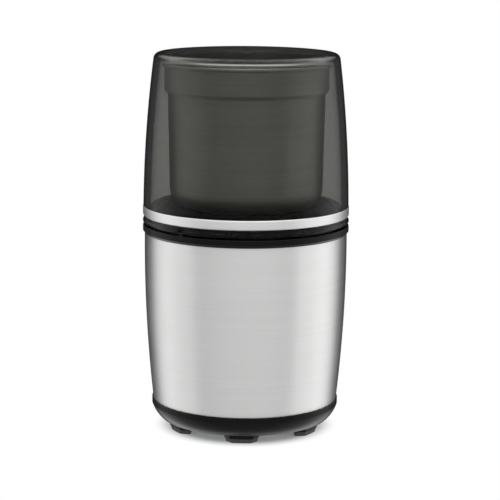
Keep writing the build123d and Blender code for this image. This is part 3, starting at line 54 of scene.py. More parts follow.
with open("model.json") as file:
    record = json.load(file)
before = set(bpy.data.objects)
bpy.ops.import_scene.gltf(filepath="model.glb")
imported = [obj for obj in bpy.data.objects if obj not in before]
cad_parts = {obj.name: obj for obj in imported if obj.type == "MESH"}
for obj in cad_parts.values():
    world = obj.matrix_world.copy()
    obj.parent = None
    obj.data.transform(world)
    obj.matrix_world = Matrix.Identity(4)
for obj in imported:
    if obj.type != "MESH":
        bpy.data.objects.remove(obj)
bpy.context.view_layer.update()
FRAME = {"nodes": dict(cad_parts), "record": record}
NODES = FRAME["nodes"]
MM = 0.001
MICRON = 0.000001

RING_LOW, RING_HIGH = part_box("lid_trim_ring")
LID_LOW, LID_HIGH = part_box("lid")
BOWL_LOW, BOWL_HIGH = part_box("bowl")
SLEEVE_LOW, SLEEVE_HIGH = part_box("steel_sleeve")

# ---- Details that stay as they are when a size changes ----
NOTCH_AZIMUTHS = (-38, 82, 202)     # degrees from the front, growing towards +X
NOTCH_OVERCUT = 0.3 * MM            # how far a notch's cutter reaches past the flange
LID_EDGE = 0.25 * MM                # rounding of the lid's small edges
FLANGE_LIP = 0.6 * MM               # rounding of the flange's upper edge
SPIGOT_EDGE = 0.5 * MM              # rounding of the spigot's foot
RING_BACK_EDGE = 0.1 * MM           # rounding of the trim ring's hidden edges
GATE_FLOOR = 0.6                    # flat middle of the moulding mark, as a share of its radius
GATE_BORDER = 1.1                   # points just outside the mark, which keep the top flat round it
FLAT_END = 1.3                      # where a flat top or ceiling ends, in roundings in from its edge
WALL_STEPS = 24                     # points up the lid's bowed wall
WALL_END = 0.95                     # how far up they go, so that the rounding above them has room
SLEEVE_STEPS = 40                   # points up the sleeve
BOWL_STEP = 2.0 * MM                # height of the slope under the bowl's collar
BOWL_SOFT = 1.6 * MM                # rounding at both ends of that slope
ROLL_STEPS = 20                     # points in a full circle of the rolled rim
ROLL_END = 18                       # the roll stops short of this point, tucked against the wall
ROLL_TUCK = 0.9                     # where the inner wall meets it, in bead radii under its middle
CREASE = 35.0                       # degrees over which an edge stays sharp
LID_CREASE = 28.0
BOWL_CREASE = 40.0
SPRING_CREASE = 60.0


# ---- Sizes and colours that a user would change ----
def length(name, description, millimetres):
    """A length property, with its default in millimetres."""
    return FloatProperty(name=name, description=description, default=millimetres * MM, unit="LENGTH",
                         min=0.0)


def colour(name, description, value):
    """A colour property."""
    return FloatVectorProperty(name=name, description=description, default=value, subtype="COLOR", size=3,
                               min=0.0, max=1.0)


class GrinderSizes(bpy.types.PropertyGroup):
    """Sizes of the turned pieces that the frame's boxes don't give"""
    segments: IntProperty(name="Segments", description="Facets round each turned piece", default=192, min=24)
    arc_steps: IntProperty(name="Arc steps", description="Facets along each rounded corner", default=7, min=2)
    lid_low_r: length("Lid foot radius", "Outer radius of the clear wall just above the trim ring", 56.75)
    lid_top_r: length("Lid top radius", "Outer radius of the clear wall where the flat top starts", 50.75)
    lid_bulge: length("Lid bulge", "How far the clear wall bows out between its ends", 1.25)
    lid_wall: length("Lid wall", "Thickness of the clear wall", 3.6)
    lid_top: length("Lid top thickness", "Thickness of the clear flat top", 2.7)
    lid_shoulder: length("Lid shoulder", "Outer rounding between wall and top", 3.4)
    lid_inner_round: length("Lid inner rounding", "Inner rounding between wall and top", 3.0)
    gate_r: length("Gate mark radius", "Radius of the shallow moulding mark on the lid's top", 1.9)
    gate_depth: length("Gate mark depth", "Depth of the moulding mark", 0.25)
    notch_width: length("Notch width", "Width round the rim of the three notches in the lid's flange", 4.2)
    notch_depth: length("Notch depth", "Radial size of the cutter of those notches", 2.8)
    flange_gap: length("Flange under ring", "Height of the flange's underside below the trim ring", 3.4)
    flange_height: length("Flange height", "Thickness of the clear flange at the lid's foot", 1.5)
    skirt_r: length("Skirt radius", "Radius of the clear skirt between flange and ring", 56.4)
    spigot_r: length("Spigot radius", "Outer radius of the spigot that drops into the deck", 54.2)
    spigot_in_r: length("Spigot bore", "Inner radius of that spigot", 51.9)
    ring_depth: length("Ring depth", "Radial thickness of the trim ring", 1.4)
    ring_round_low: length("Ring lower edge", "Rounding of the trim ring's lower edge", 1.1)
    ring_round_top: length("Ring upper edge", "Rounding of the trim ring's upper edge", 0.6)
    bowl_low_r: length("Bowl foot radius", "Outer radius of the bowl's wall at its foot", 42.0)
    bowl_top_r: length("Bowl radius under the step", "Outer radius of the bowl under its collar", 43.2)
    bowl_collar_r: length("Bowl collar radius", "Outer radius of the bowl's collar", 45.2)
    bowl_collar_h: length("Bowl collar height", "Height of the collar under the rolled rim", 14.0)
    bowl_wall: length("Bowl wall", "Thickness of the spun steel", 0.8)
    bowl_round: length("Bowl corner", "Outer rounding at the bowl's foot", 10.0)
    bowl_hole_r: length("Bowl hole", "Radius of the hole for the bowl's hub", 8.45)
    bead_r: length("Rolled rim", "Radius of the rolled rim's section", 1.2)
    sleeve_low_r: length("Sleeve foot radius", "Outer radius of the steel sleeve at its foot", 51.35)
    sleeve_top_r: length("Sleeve top radius", "Outer radius of the steel sleeve at its top", 56.0)
    sleeve_bulge: length("Sleeve bulge", "How far the sleeve bows out between its ends", 1.4)
    sleeve_wall: length("Sleeve wall", "Thickness of the steel sleeve", 0.8)
    sleeve_edge: length("Sleeve edge", "Rounding of the sleeve's cut edges", 0.25)
    spring_r: length("Return spring radius", "Radius of a return spring at the middle of its wire", 2.4)
    spring_wire_r: length("Return spring wire", "Radius of the springs' wire", 0.35)
    spring_turns: IntProperty(name="Return spring turns", default=7, min=3,
                              description="Turns of a return spring, with the closed one at each end")


class GrinderColours(bpy.types.PropertyGroup):
    """Colours of the grinder"""
    smoke: colour("Lid smoke", "Colour that the clear lid takes on in its depth", (0.30, 0.303, 0.28))
    smoke_depth: FloatProperty(name="Smoke density", default=375.0, min=0.0,
                               description="How fast the lid darkens with depth, per metre")
    steel: colour("Sleeve steel", "Colour of the brushed sleeve", (0.80, 0.80, 0.795))
    bowl_steel: colour("Bowl steel", "Colour of the brushed bowl", (0.79, 0.79, 0.74))
    trim: colour("Trim ring", "Colour of the bright ring", (0.82, 0.82, 0.815))
    black: colour("Black plastic", "Colour of the glossy black mouldings", (0.0022, 0.0022, 0.0024))
    pad: colour("Foot pads", "Colour of the rubber pads", (0.060, 0.060, 0.064))


def sizes():
    """The grinder's sizes in this scene."""
    return bpy.context.scene.grinder_sizes


def colours():
    """The grinder's colours in this scene."""
    return bpy.context.scene.grinder_colours


# ---- Outlines ----
def rounded(corners, step_count):
    """An outline of (radius, height) points from corners; a third number rounds that corner by an arc."""
    outline = []
    count = len(corners)
    for index, corner in enumerate(corners):
        here = Vector(corner[:2])
        if len(corner) == 2:
            outline.append(here)
            continue
        to_before = (Vector(corners[index - 1][:2]) - here).normalized()
        to_after = (Vector(corners[(index + 1) % count][:2]) - here).normalized()
        half = to_before.angle(to_after) / 2
        start = here + to_before * corner[2] / math.tan(half)
        middle = here + (to_before + to_after).normalized() * corner[2] / math.sin(half)
        sweep = math.pi - 2 * half
        spoke = start - middle
        turn = 1 if to_before.x * to_after.y - to_before.y * to_after.x < 0 else -1
        for step in range(step_count + 1):
            angle = turn * sweep * step / step_count
            outline.append(middle + Vector((spoke.x * math.cos(angle) - spoke.y * math.sin(angle),
                                            spoke.x * math.sin(angle) + spoke.y * math.cos(angle))))
    return outline


def bowed(low, high, bulge, step_count, first=0.0, last=1.0):
    """Points up a wall that bows out by bulge between two (radius, height) ends."""
    points = []
    for step in range(step_count + 1):
        part = first + (last - first) * step / step_count
        points.append((low[0] + (high[0] - low[0]) * part + 4 * bulge * part * (1 - part),
                       low[1] + (high[1] - low[1]) * part))
    return points


def new_object(name, mesh_builder, material, body, replaced, crease=CREASE):
    """A mesh object from a filled bmesh, smoothed up to the crease angle, that rides on a body."""
    mesh = bpy.data.meshes.new(name)
    bmesh.ops.remove_doubles(mesh_builder, verts=mesh_builder.verts, dist=1e-7)
    bmesh.ops.recalc_face_normals(mesh_builder, faces=mesh_builder.faces)
    mesh_builder.to_mesh(mesh)
    mesh_builder.free()
    for polygon in mesh.polygons:
        polygon.use_smooth = True
    mesh.set_sharp_from_angle(angle=math.radians(crease))
    piece = bpy.data.objects.new(name, mesh)
    bpy.context.scene.collection.objects.link(piece)
    mesh.materials.append(material)
    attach(piece, body)
    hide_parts(*replaced)
    return piece


def turned(builder, outline, segments):
    """Spin a closed outline of (radius, height) points round Z into faces."""
    rings = []
    for radius, height in outline:
        if radius < 1e-9:
            rings.append([builder.verts.new((0, 0, height))] * segments)
        else:
            rings.append([builder.verts.new((radius * math.cos(2 * math.pi * k / segments),
                                             radius * math.sin(2 * math.pi * k / segments), height))
                          for k in range(segments)])
    for index in range(len(rings)):
        low, high = rings[index], rings[(index + 1) % len(rings)]
        for k in range(segments):
            after = (k + 1) % segments
            corners = []
            for vert in (low[k], low[after], high[after], high[k]):
                if vert not in corners:
                    corners.append(vert)
            if len(corners) > 2:
                builder.faces.new(corners)


def coil(builder, foot, height, radius, wire_r, turns, steps=24, sides=10):
    """A compression spring that stands on foot, with its first and last turns closed."""
    closed = 2 * wire_r / (height - 2 * wire_r)
    rings = []
    for index in range(turns * steps + 1):
        turn = index / steps
        rise = closed + (turn - 1) / (turns - 2) * (1 - 2 * closed)
        if turn < 1:
            rise = turn * closed
        elif turn > turns - 1:
            rise = 1 - (turns - turn) * closed
        outward = Vector((math.cos(2 * math.pi * turn), math.sin(2 * math.pi * turn), 0))
        middle = foot + outward * radius + Vector((0, 0, wire_r + rise * (height - 2 * wire_r)))
        ring = []
        for side in range(sides):
            angle = 2 * math.pi * side / sides
            ring.append(builder.verts.new(middle + outward * wire_r * math.cos(angle)
                                          + Vector((0, 0, wire_r * math.sin(angle)))))
        rings.append(ring)
    for low, high in zip(rings, rings[1:]):
        for side in range(sides):
            after = (side + 1) % sides
            builder.faces.new((low[side], low[after], high[after], high[side]))
    builder.faces.new(rings[0])
    builder.faces.new(rings[-1])


def cut(piece, cutter_builder):
    """Take the shapes in a bmesh out of a piece."""
    mesh = bpy.data.meshes.new("cutters")
    cutter_builder.to_mesh(mesh)
    cutter_builder.free()
    cutter = bpy.data.objects.new("cutters", mesh)
    bpy.context.scene.collection.objects.link(cutter)
    modifier = piece.modifiers.new("cut", "BOOLEAN")
    modifier.object = cutter
    modifier.solver = "EXACT"
    bpy.context.view_layer.update()
    shaped = bpy.data.meshes.new_from_object(piece.evaluated_get(bpy.context.evaluated_depsgraph_get()))
    piece.modifiers.clear()
    whole, piece.data = piece.data, shaped
    shaped.name = whole.name
    bpy.data.objects.remove(cutter)
    bpy.data.meshes.remove(mesh)
    bpy.data.meshes.remove(whole)


def turned_piece(name, outline, material, body, replaced, crease=CREASE):
    """A piece that is spun from an outline."""
    builder = bmesh.new()
    turned(builder, outline, sizes().segments)
    return new_object(name, builder, material, body, replaced, crease)


# ---- Node helpers ----
def node(tree, kind, inputs=None, **settings):
    """Add a node, set its properties and its sockets' values or links."""
    made = tree.nodes.new(kind)
    for key, value in settings.items():
        setattr(made, key, value)
    for key, value in (inputs or {}).items():
        if isinstance(value, bpy.types.NodeSocket):
            tree.links.new(value, made.inputs[key])
        else:
            made.inputs[key].default_value = value
    return made


def maths(tree, operation, first, second):
    """The result of a sum on two numbers."""
    return node(tree, "ShaderNodeMath", {0: first, 1: second}, operation=operation).outputs[0]


def blended(tree, factor, first, second):
    """A number between two numbers by a factor."""
    return node(tree, "ShaderNodeMix", {"Factor": factor, "A": first, "B": second},
                data_type="FLOAT").outputs[0]


def eased(tree, value, low, high):
    """0 to 1 over a range, with soft ends."""
    return node(tree, "ShaderNodeMapRange", {"Value": value, "From Min": low, "From Max": high},
                interpolation_type="SMOOTHSTEP").outputs[0]


def group(name, inputs, outputs):
    """A shader node group with float inputs (name, default) and float outputs."""
    tree = bpy.data.node_groups.new(name, "ShaderNodeTree")
    for label, value in inputs:
        socket = tree.interface.new_socket(label, in_out="INPUT", socket_type="NodeSocketFloat")
        socket.default_value = value
    for label in outputs:
        tree.interface.new_socket(label, in_out="OUTPUT", socket_type="NodeSocketFloat")
    return tree, tree.nodes.new("NodeGroupInput").outputs, tree.nodes.new("NodeGroupOutput").inputs


FINE_SHARE = 0.65


def turned_grain():
    """Fine and coarse lines that run round the axis, as a brush or a lathe leaves them."""
    name = "Turned grain"
    if name in bpy.data.node_groups:
        return bpy.data.node_groups[name]
    tree, given, result = group(name, [("Along", 9.0), ("Across", 2600.0), ("Coarse", 420.0)], ["Height"])
    place = node(tree, "ShaderNodeTexCoord").outputs["Object"]
    axes = node(tree, "ShaderNodeSeparateXYZ", {0: place}).outputs
    layers = []
    for across in ("Across", "Coarse"):
        spread = node(tree, "ShaderNodeCombineXYZ", {
            "X": maths(tree, "MULTIPLY", axes["X"], given["Along"]),
            "Y": maths(tree, "MULTIPLY", axes["Y"], given["Along"]),
            "Z": maths(tree, "MULTIPLY", axes["Z"], given[across])}).outputs[0]
        layers.append(node(tree, "ShaderNodeTexNoise", {"Vector": spread, "Scale": 1.0, "Detail": 5.0,
                                                        "Roughness": 0.62}).outputs[0])
    fine = maths(tree, "MULTIPLY", layers[0], FINE_SHARE)
    coarse = maths(tree, "MULTIPLY", layers[1], 1 - FINE_SHARE)
    tree.links.new(maths(tree, "ADD", fine, coarse), result["Height"])
    return tree


def handled_surface():
    """Faint smudges and specks of a kitchen tool: a mask for roughness and colour."""
    name = "Handled surface"
    if name in bpy.data.node_groups:
        return bpy.data.node_groups[name]
    tree, given, result = group(name, [("Smudge scale", 38.0), ("Speck scale", 900.0)],
                                ["Smudge", "Speck"])
    place = node(tree, "ShaderNodeTexCoord").outputs["Object"]
    smudge = node(tree, "ShaderNodeTexNoise", {"Vector": place, "Scale": given["Smudge scale"], "Detail": 4.0,
                                               "Distortion": 0.6}).outputs[0]
    speck = node(tree, "ShaderNodeTexNoise", {"Vector": place, "Scale": given["Speck scale"],
                                              "Detail": 2.0}).outputs[0]
    soft = node(tree, "ShaderNodeMapRange", {"Value": smudge, "From Min": 0.35, "From Max": 0.7}).outputs[0]
    sharp = node(tree, "ShaderNodeMapRange", {"Value": speck, "From Min": 0.66, "From Max": 0.74}).outputs[0]
    tree.links.new(soft, result["Smudge"])
    tree.links.new(sharp, result["Speck"])
    return tree


def moulded_skin():
    """The faint orange peel of a moulded surface."""
    name = "Moulded skin"
    if name in bpy.data.node_groups:
        return bpy.data.node_groups[name]
    tree, given, result = group(name, [("Scale", 500.0)], ["Height"])
    place = node(tree, "ShaderNodeTexCoord").outputs["Object"]
    peel = node(tree, "ShaderNodeTexNoise", {"Vector": place, "Scale": given["Scale"],
                                             "Detail": 3.0}).outputs[0]
    tree.links.new(peel, result["Height"])
    return tree


def shader(name):
    """A new material with its Principled BSDF and output."""
    material = bpy.data.materials.new(name)
    material.use_nodes = True
    tree = material.node_tree
    tree.nodes.clear()
    bsdf = tree.nodes.new("ShaderNodeBsdfPrincipled")
    out = tree.nodes.new("ShaderNodeOutputMaterial")
    tree.links.new(bsdf.outputs[0], out.inputs["Surface"])
    return material, tree, bsdf, out


def placed(tree, made_group, **values):
    """Place a shared group in a material with its own values."""
    instance = tree.nodes.new("ShaderNodeGroup")
    instance.node_tree = made_group
    for key, value in values.items():
        instance.inputs[key.replace("_", " ")].default_value = value
    return instance.outputs


def bump(tree, bsdf, height, distance):
    """Relief from a height, with its depth in metres."""
    made = node(tree, "ShaderNodeBump", {"Height": height, "Distance": distance, "Strength": 1.0})
    tree.links.new(made.outputs[0], bsdf.inputs["Normal"])


def mixed(tree, factor, first, second):
    """A colour between two colours by a mask."""
    made = node(tree, "ShaderNodeMix", data_type="RGBA")
    tree.links.new(factor, made.inputs["Factor"])
    made.inputs["A"].default_value = (*first, 1.0)
    made.inputs["B"].default_value = (*second, 1.0)
    return made.outputs["Result"]


def spanned(tree, mask, low, high):
    """A mask spread between two values."""
    return node(tree, "ShaderNodeMapRange", {"Value": mask, "To Min": low, "To Max": high}).outputs[0]


def tinted(base, factor):
    """A colour made lighter or darker."""
    return tuple(min(1.0, channel * factor) for channel in base)


# ---- Materials ----
METAL_SPREAD = 0.07      # how far a brushed metal's roughness goes to either side with its grain
SMUDGE_DULL = 0.05       # roughness that a smudge adds to a brushed metal
PLATE_DULL = 0.08        # the same on smooth metal
PLASTIC_DULL = 0.09      # and on plastic
SMUDGE_SHADE = 0.93      # how dark a smudge makes smooth metal
DUST_LIFT = 0.12         # how much lighter a speck of dust is, at a specks value of 1
PLATE_PEEL_SCALE = 900.0
COARSE_PART = 6          # the fine grain lines for each coarse one


def brushed_metal(name, base, roughness, anisotropy, across, contrast, depth):
    """Steel with grain round the axis, smudges and small changes of tone."""
    material, tree, bsdf, _ = shader(name)
    grain = placed(tree, turned_grain(), Across=across, Coarse=across / COARSE_PART)
    marks = placed(tree, handled_surface())
    tree.links.new(mixed(tree, grain["Height"], tinted(base, 1 - contrast), tinted(base, 1 + contrast)),
                   bsdf.inputs["Base Color"])
    rough = maths(tree, "ADD", spanned(tree, grain["Height"], roughness - METAL_SPREAD,
                                       roughness + METAL_SPREAD),
                  maths(tree, "MULTIPLY", marks["Smudge"], SMUDGE_DULL))
    tree.links.new(rough, bsdf.inputs["Roughness"])
    bsdf.inputs["Metallic"].default_value = 1.0
    bsdf.inputs["Anisotropic"].default_value = anisotropy
    bump(tree, bsdf, grain["Height"], depth)
    if anisotropy:
        bsdf.inputs["Anisotropic Rotation"].default_value = 0.25
        tangent = node(tree, "ShaderNodeTangent", direction_type="RADIAL", axis="Z")
        tree.links.new(tangent.outputs[0], bsdf.inputs["Tangent"])
    return material


def zinc_plate():
    """Plated metal with faint smudges."""
    base, roughness = (0.56, 0.57, 0.57), 0.27
    material, tree, bsdf, _ = shader("zinc plate")
    marks = placed(tree, handled_surface(), Smudge_scale=60.0)
    tree.links.new(mixed(tree, marks["Smudge"], base, tinted(base, SMUDGE_SHADE)), bsdf.inputs["Base Color"])
    tree.links.new(spanned(tree, marks["Smudge"], roughness, roughness + PLATE_DULL),
                   bsdf.inputs["Roughness"])
    bsdf.inputs["Metallic"].default_value = 1.0
    skin = placed(tree, moulded_skin(), Scale=PLATE_PEEL_SCALE)
    bump(tree, bsdf, skin["Height"], 30 * MICRON)
    return material


def moulded_plastic(name, base, roughness, peel, scale, specks, gloss):
    """Moulded plastic or rubber: orange peel, smudges and a little dust."""
    material, tree, bsdf, _ = shader(name)
    skin = placed(tree, moulded_skin(), Scale=scale)
    marks = placed(tree, handled_surface())
    dust = tuple(channel + specks * DUST_LIFT for channel in base)
    tree.links.new(mixed(tree, marks["Speck"], base, dust), bsdf.inputs["Base Color"])
    tree.links.new(spanned(tree, marks["Smudge"], roughness, roughness + PLASTIC_DULL),
                   bsdf.inputs["Roughness"])
    bsdf.inputs["Specular IOR Level"].default_value = gloss
    bump(tree, bsdf, skin["Height"], peel)
    return material


def smoked_plastic():
    """Clear lid: polished, with a smoke that deepens with the path through it."""
    material, tree, bsdf, out = shader("smoked clear plastic")
    marks = placed(tree, handled_surface(), Smudge_scale=26.0)
    bsdf.inputs["Base Color"].default_value = (0.96, 0.96, 0.95, 1.0)
    bsdf.inputs["Transmission Weight"].default_value = 1.0
    bsdf.inputs["IOR"].default_value = 1.53
    bsdf.inputs["Specular Tint"].default_value = (0.22, 0.22, 0.22, 1.0)
    tree.links.new(spanned(tree, marks["Smudge"], 0.012, 0.035), bsdf.inputs["Roughness"])
    smoke = node(tree, "ShaderNodeVolumeAbsorption", {"Color": (*colours().smoke, 1.0),
                                                      "Density": colours().smoke_depth})
    tree.links.new(smoke.outputs[0], out.inputs["Volume"])
    return material


def laminated_steel():
    """Varnished laminations: thin layers that show as lines up the stack."""
    material, tree, bsdf, _ = shader("varnished laminations")
    layers = placed(tree, turned_grain(), Along=0.5, Across=2000.0, Coarse=600.0)
    tree.links.new(mixed(tree, layers["Height"], (0.10, 0.10, 0.11), (0.30, 0.30, 0.31)),
                   bsdf.inputs["Base Color"])
    bsdf.inputs["Metallic"].default_value = 0.7
    bsdf.inputs["Roughness"].default_value = 0.42
    bump(tree, bsdf, layers["Height"], 80 * MICRON)
    return material


def enamelled_wire():
    """Copper winding: fine turns with enamel over them."""
    material, tree, bsdf, _ = shader("enamelled copper wire")
    turns = placed(tree, turned_grain(), Along=2.0, Across=900.0, Coarse=260.0)
    tree.links.new(mixed(tree, turns["Height"], (0.30, 0.10, 0.035), (0.72, 0.33, 0.14)),
                   bsdf.inputs["Base Color"])
    bsdf.inputs["Metallic"].default_value = 0.85
    bsdf.inputs["Roughness"].default_value = 0.32
    bsdf.inputs["Coat Weight"].default_value = 0.5
    bump(tree, bsdf, turns["Height"], 200 * MICRON)
    return material


# A colour is its value, or the name of the property that holds it. Grain lines and peel are per metre.
# slot: name, colour, roughness, anisotropy, grain lines, contrast, depth
BRUSHED = {
    "polished_trim": ("bright trim metal", "trim", 0.42, 0.80, 4200.0, 0.02, 4 * MICRON),
    "bowl_steel": ("brushed bowl steel", "bowl_steel", 0.34, 0.95, 1500.0, 0.30, 12 * MICRON),
    "brushed_sleeve": ("brushed sleeve steel", "steel", 0.34, 0.95, 2600.0, 0.10, 10 * MICRON),
    "blade_steel": ("ground blade steel", (0.66, 0.66, 0.65), 0.24, 0.0, 1500.0, 0.05, 10 * MICRON),
    "nut_steel": ("turned steel", (0.55, 0.55, 0.54), 0.28, 0.0, 1800.0, 0.06, 20 * MICRON),
    "bronze": ("sintered bronze", (0.52, 0.35, 0.17), 0.42, 0.0, 900.0, 0.08, 20 * MICRON),
}
# slot: name, colour, roughness, peel depth, peel scale, specks, specular level
MOULDED = {
    "black_plastic": ("glossy black plastic", "black", 0.16, 12 * MICRON, 500.0, 0.03, 0.15),
    "black_rubber": ("black rubber", (0.022, 0.022, 0.022), 0.55, 40 * MICRON, 1400.0, 0.15, 0.5),
    "pad_rubber": ("grey pad rubber", "pad", 0.62, 50 * MICRON, 1200.0, 0.3, 0.5),
    "grey_plastic": ("grey nylon", (0.17, 0.17, 0.175), 0.42, 30 * MICRON, 900.0, 0.15, 0.5),
    "switch_plastic": ("switch phenolic", (0.055, 0.05, 0.05), 0.36, 20 * MICRON, 900.0, 0.15, 0.5),
    "white_plastic": ("ivory nylon", (0.70, 0.68, 0.62), 0.4, 20 * MICRON, 900.0, 0.15, 0.5),
    "carbon": ("brush carbon", (0.035, 0.035, 0.037), 0.5, 30 * MICRON, 1500.0, 0.15, 0.5),
    "lead_insulation": ("lead insulation", (0.06, 0.06, 0.08), 0.4, 20 * MICRON, 900.0, 0.15, 0.5),
}
SPECIAL = {
    "smoked_plastic": smoked_plastic,
    "core_steel": laminated_steel,
    "copper": enamelled_wire,
    "zinc_steel": zinc_plate,
}
FINISHES = {}


def finish_for(slot):
    """The material for one of the record's slots, made once."""
    if slot not in FINISHES:
        if slot in SPECIAL:
            FINISHES[slot] = SPECIAL[slot]()
        else:
            maker, rows = (brushed_metal, BRUSHED) if slot in BRUSHED else (moulded_plastic, MOULDED)
            name, base, *values = rows[slot]
            if isinstance(base, str):
                base = tuple(getattr(colours(), base))
            FINISHES[slot] = maker(name, base, *values)
    return FINISHES[slot]


def slot_of(name):
    """The record's material slot of a CAD node."""
    for entry in FRAME["record"]["subparts"]:
        if entry["node"] == name:
            return entry["material_slot"]
    raise KeyError(name)


def dress(*names):
    """Give CAD nodes that keep their shape their real material."""
    for name in names:
        mesh = NODES[name].data
        material = finish_for(slot_of(name))
        if not mesh.materials:
            mesh.materials.append(material)
        for index in range(len(mesh.materials)):
            mesh.materials[index] = material


# ---- Operators: one for each piece or group of like pieces ----
class GrinderStep(bpy.types.Operator):
    """Shared base of the grinder's steps"""
    bl_options = {"REGISTER", "UNDO"}

    def execute(self, context):
        self.make()
        return {"FINISHED"}


class GRINDER_OT_lid(GrinderStep):
    """Turn the smoked lid with its bowed wall, groove, skirt, flange and spigot"""
    bl_idname = "grinder.lid"
    bl_label = "Lid"

    def make(self):
        size = sizes()
        ring_low, ring_top, top = RING_LOW.z, RING_HIGH.z, LID_HIGH.z
        body_r = RING_HIGH.x
        groove_r = body_r - size.ring_depth
        flange_low = ring_low - size.flange_gap
        flange_top = flange_low + size.flange_height
        ceiling = top - size.lid_top
        foot, crown = (size.lid_low_r, ring_top), (size.lid_top_r, top)
        share_at = (ceiling - ring_top) / (top - ring_top)
        inner_r = bowed(foot, crown, size.lid_bulge, 1, share_at, share_at)[0][0] - size.lid_wall
        outer = bowed(foot, crown, size.lid_bulge, WALL_STEPS, 0.0, WALL_END)
        inner = bowed((size.lid_low_r - size.lid_wall, ring_top), (inner_r, ceiling), size.lid_bulge,
                      WALL_STEPS, 0.0, WALL_END)
        corners = [(0, top - size.gate_depth), (size.gate_r * GATE_FLOOR, top - size.gate_depth),
                   (size.gate_r, top), (size.gate_r * GATE_BORDER, top),
                   (size.lid_top_r - FLAT_END * size.lid_shoulder, top),
                   (size.lid_top_r, top, size.lid_shoulder)]
        corners += list(reversed(outer))
        corners += [(groove_r, ring_top), (groove_r, ring_low), (size.skirt_r, ring_low, LID_EDGE),
                    (size.skirt_r, flange_top), (body_r, flange_top, FLANGE_LIP),
                    (body_r, flange_low, LID_EDGE), (size.spigot_r, flange_low, LID_EDGE),
                    (size.spigot_r, LID_LOW.z, SPIGOT_EDGE), (size.spigot_in_r, LID_LOW.z, SPIGOT_EDGE),
                    (size.spigot_in_r, flange_low)]
        corners += inner
        corners += [(inner_r, ceiling, size.lid_inner_round),
                    (inner_r - FLAT_END * size.lid_inner_round, ceiling), (0, ceiling)]
        lid = turned_piece("smoked_lid", rounded(corners, size.arc_steps), finish_for("smoked_plastic"),
                           "lid", ["lid"], LID_CREASE)
        cutters = bmesh.new()
        notch_r = body_r - (size.notch_depth / 2 - NOTCH_OVERCUT)
        for azimuth in NOTCH_AZIMUTHS:
            turn = Matrix.Rotation(math.radians(azimuth - 90), 4, "Z")
            place = turn @ Matrix.Translation((notch_r, 0, (flange_low + flange_top) / 2))
            bmesh.ops.create_cube(cutters, size=1.0, matrix=place @ Matrix.Diagonal(
                (size.notch_depth, size.notch_width, size.flange_height * 2, 1.0)))
        cut(lid, cutters)


class GRINDER_OT_trim_ring(GrinderStep):
    """Turn the bright trim ring with its rounded edges"""
    bl_idname = "grinder.trim_ring"
    bl_label = "Trim ring"

    def make(self):
        size = sizes()
        inner_r = RING_HIGH.x - size.ring_depth
        corners = [(inner_r, RING_LOW.z, RING_BACK_EDGE), (RING_HIGH.x, RING_LOW.z, size.ring_round_low),
                   (RING_HIGH.x, RING_HIGH.z, size.ring_round_top), (inner_r, RING_HIGH.z, RING_BACK_EDGE)]
        turned_piece("trim_ring", rounded(corners, size.arc_steps), finish_for("polished_trim"), "lid",
                     ["lid_trim_ring"])


class GRINDER_OT_bowl(GrinderStep):
    """Spin the stepped steel bowl with its rolled rim"""
    bl_idname = "grinder.bowl"
    bl_label = "Bowl"

    def make(self):
        size = sizes()
        low, top = BOWL_LOW.z, BOWL_HIGH.z
        wall, bead = size.bowl_wall, size.bead_r
        rim_z = top - bead
        step_z = rim_z - size.bowl_collar_h
        step_low = step_z - BOWL_STEP
        outer = [(size.bowl_hole_r, low), (size.bowl_low_r, low, size.bowl_round),
                 (size.bowl_top_r, step_low, BOWL_SOFT), (size.bowl_collar_r, step_z, BOWL_SOFT),
                 (size.bowl_collar_r, rim_z - bead)]
        roll = []
        for step in range(1, ROLL_END):
            angle = 2 * math.pi * step / ROLL_STEPS
            roll.append((size.bowl_collar_r + bead * math.sin(angle), rim_z - bead * math.cos(angle)))
        inner_r = size.bowl_collar_r - wall
        inner = [(inner_r, rim_z - bead * ROLL_TUCK), (inner_r, step_z, BOWL_SOFT),
                 (size.bowl_top_r - wall, step_low, BOWL_SOFT),
                 (size.bowl_low_r - wall, low + wall, size.bowl_round - wall),
                 (size.bowl_hole_r, low + wall)]
        turned_piece("steel_bowl", rounded(outer + roll + inner, size.arc_steps), finish_for("bowl_steel"),
                     "bowl", ["bowl"], BOWL_CREASE)


class GRINDER_OT_sleeve(GrinderStep):
    """Roll the bowed brushed steel sleeve"""
    bl_idname = "grinder.sleeve"
    bl_label = "Steel sleeve"

    def make(self):
        size = sizes()
        low = (size.sleeve_low_r, SLEEVE_LOW.z)
        high = (size.sleeve_top_r, SLEEVE_HIGH.z)
        wall = size.sleeve_wall
        outer = bowed(low, high, size.sleeve_bulge, SLEEVE_STEPS)
        inner = bowed((low[0] - wall, low[1]), (high[0] - wall, high[1]), size.sleeve_bulge, SLEEVE_STEPS)
        edge = size.sleeve_edge
        corners = [(*outer[0], edge)] + outer[1:-1] + [(*outer[-1], edge)] + list(reversed(inner))
        turned_piece("brushed_sleeve", rounded(corners, size.arc_steps), finish_for("brushed_sleeve"), "base",
                     ["steel_sleeve"])


class GRINDER_OT_deck(GrinderStep):
    """Finish the black deck, the bowl's foot and the seals round the drive"""
    bl_idname = "grinder.deck"
    bl_label = "Deck and bowl foot"

    def make(self):
        dress("deck", "deck_seal", "bowl_foot", "bowl_gasket", "bowl_nut", "blade_bush", "shaft_seal")


class GRINDER_OT_blades(GrinderStep):
    """Finish the blade, its shaft, nut and couplings"""
    bl_idname = "grinder.blades"
    bl_label = "Blade set"

    def make(self):
        dress("blade", "blade_shaft", "blade_nut", "blade_coupling", "drive_coupling")


class GRINDER_OT_base(GrinderStep):
    """Finish the base pan, the foot pads, the bottom cover and the cord inlet"""
    bl_idname = "grinder.base"
    bl_label = "Base and feet"

    def make(self):
        pads = sorted(name for name in NODES if name.startswith("foot_pad_"))
        dress("base_pan", "bottom_cover", "cover_screws", "body_screws", "cord_gland", *pads)


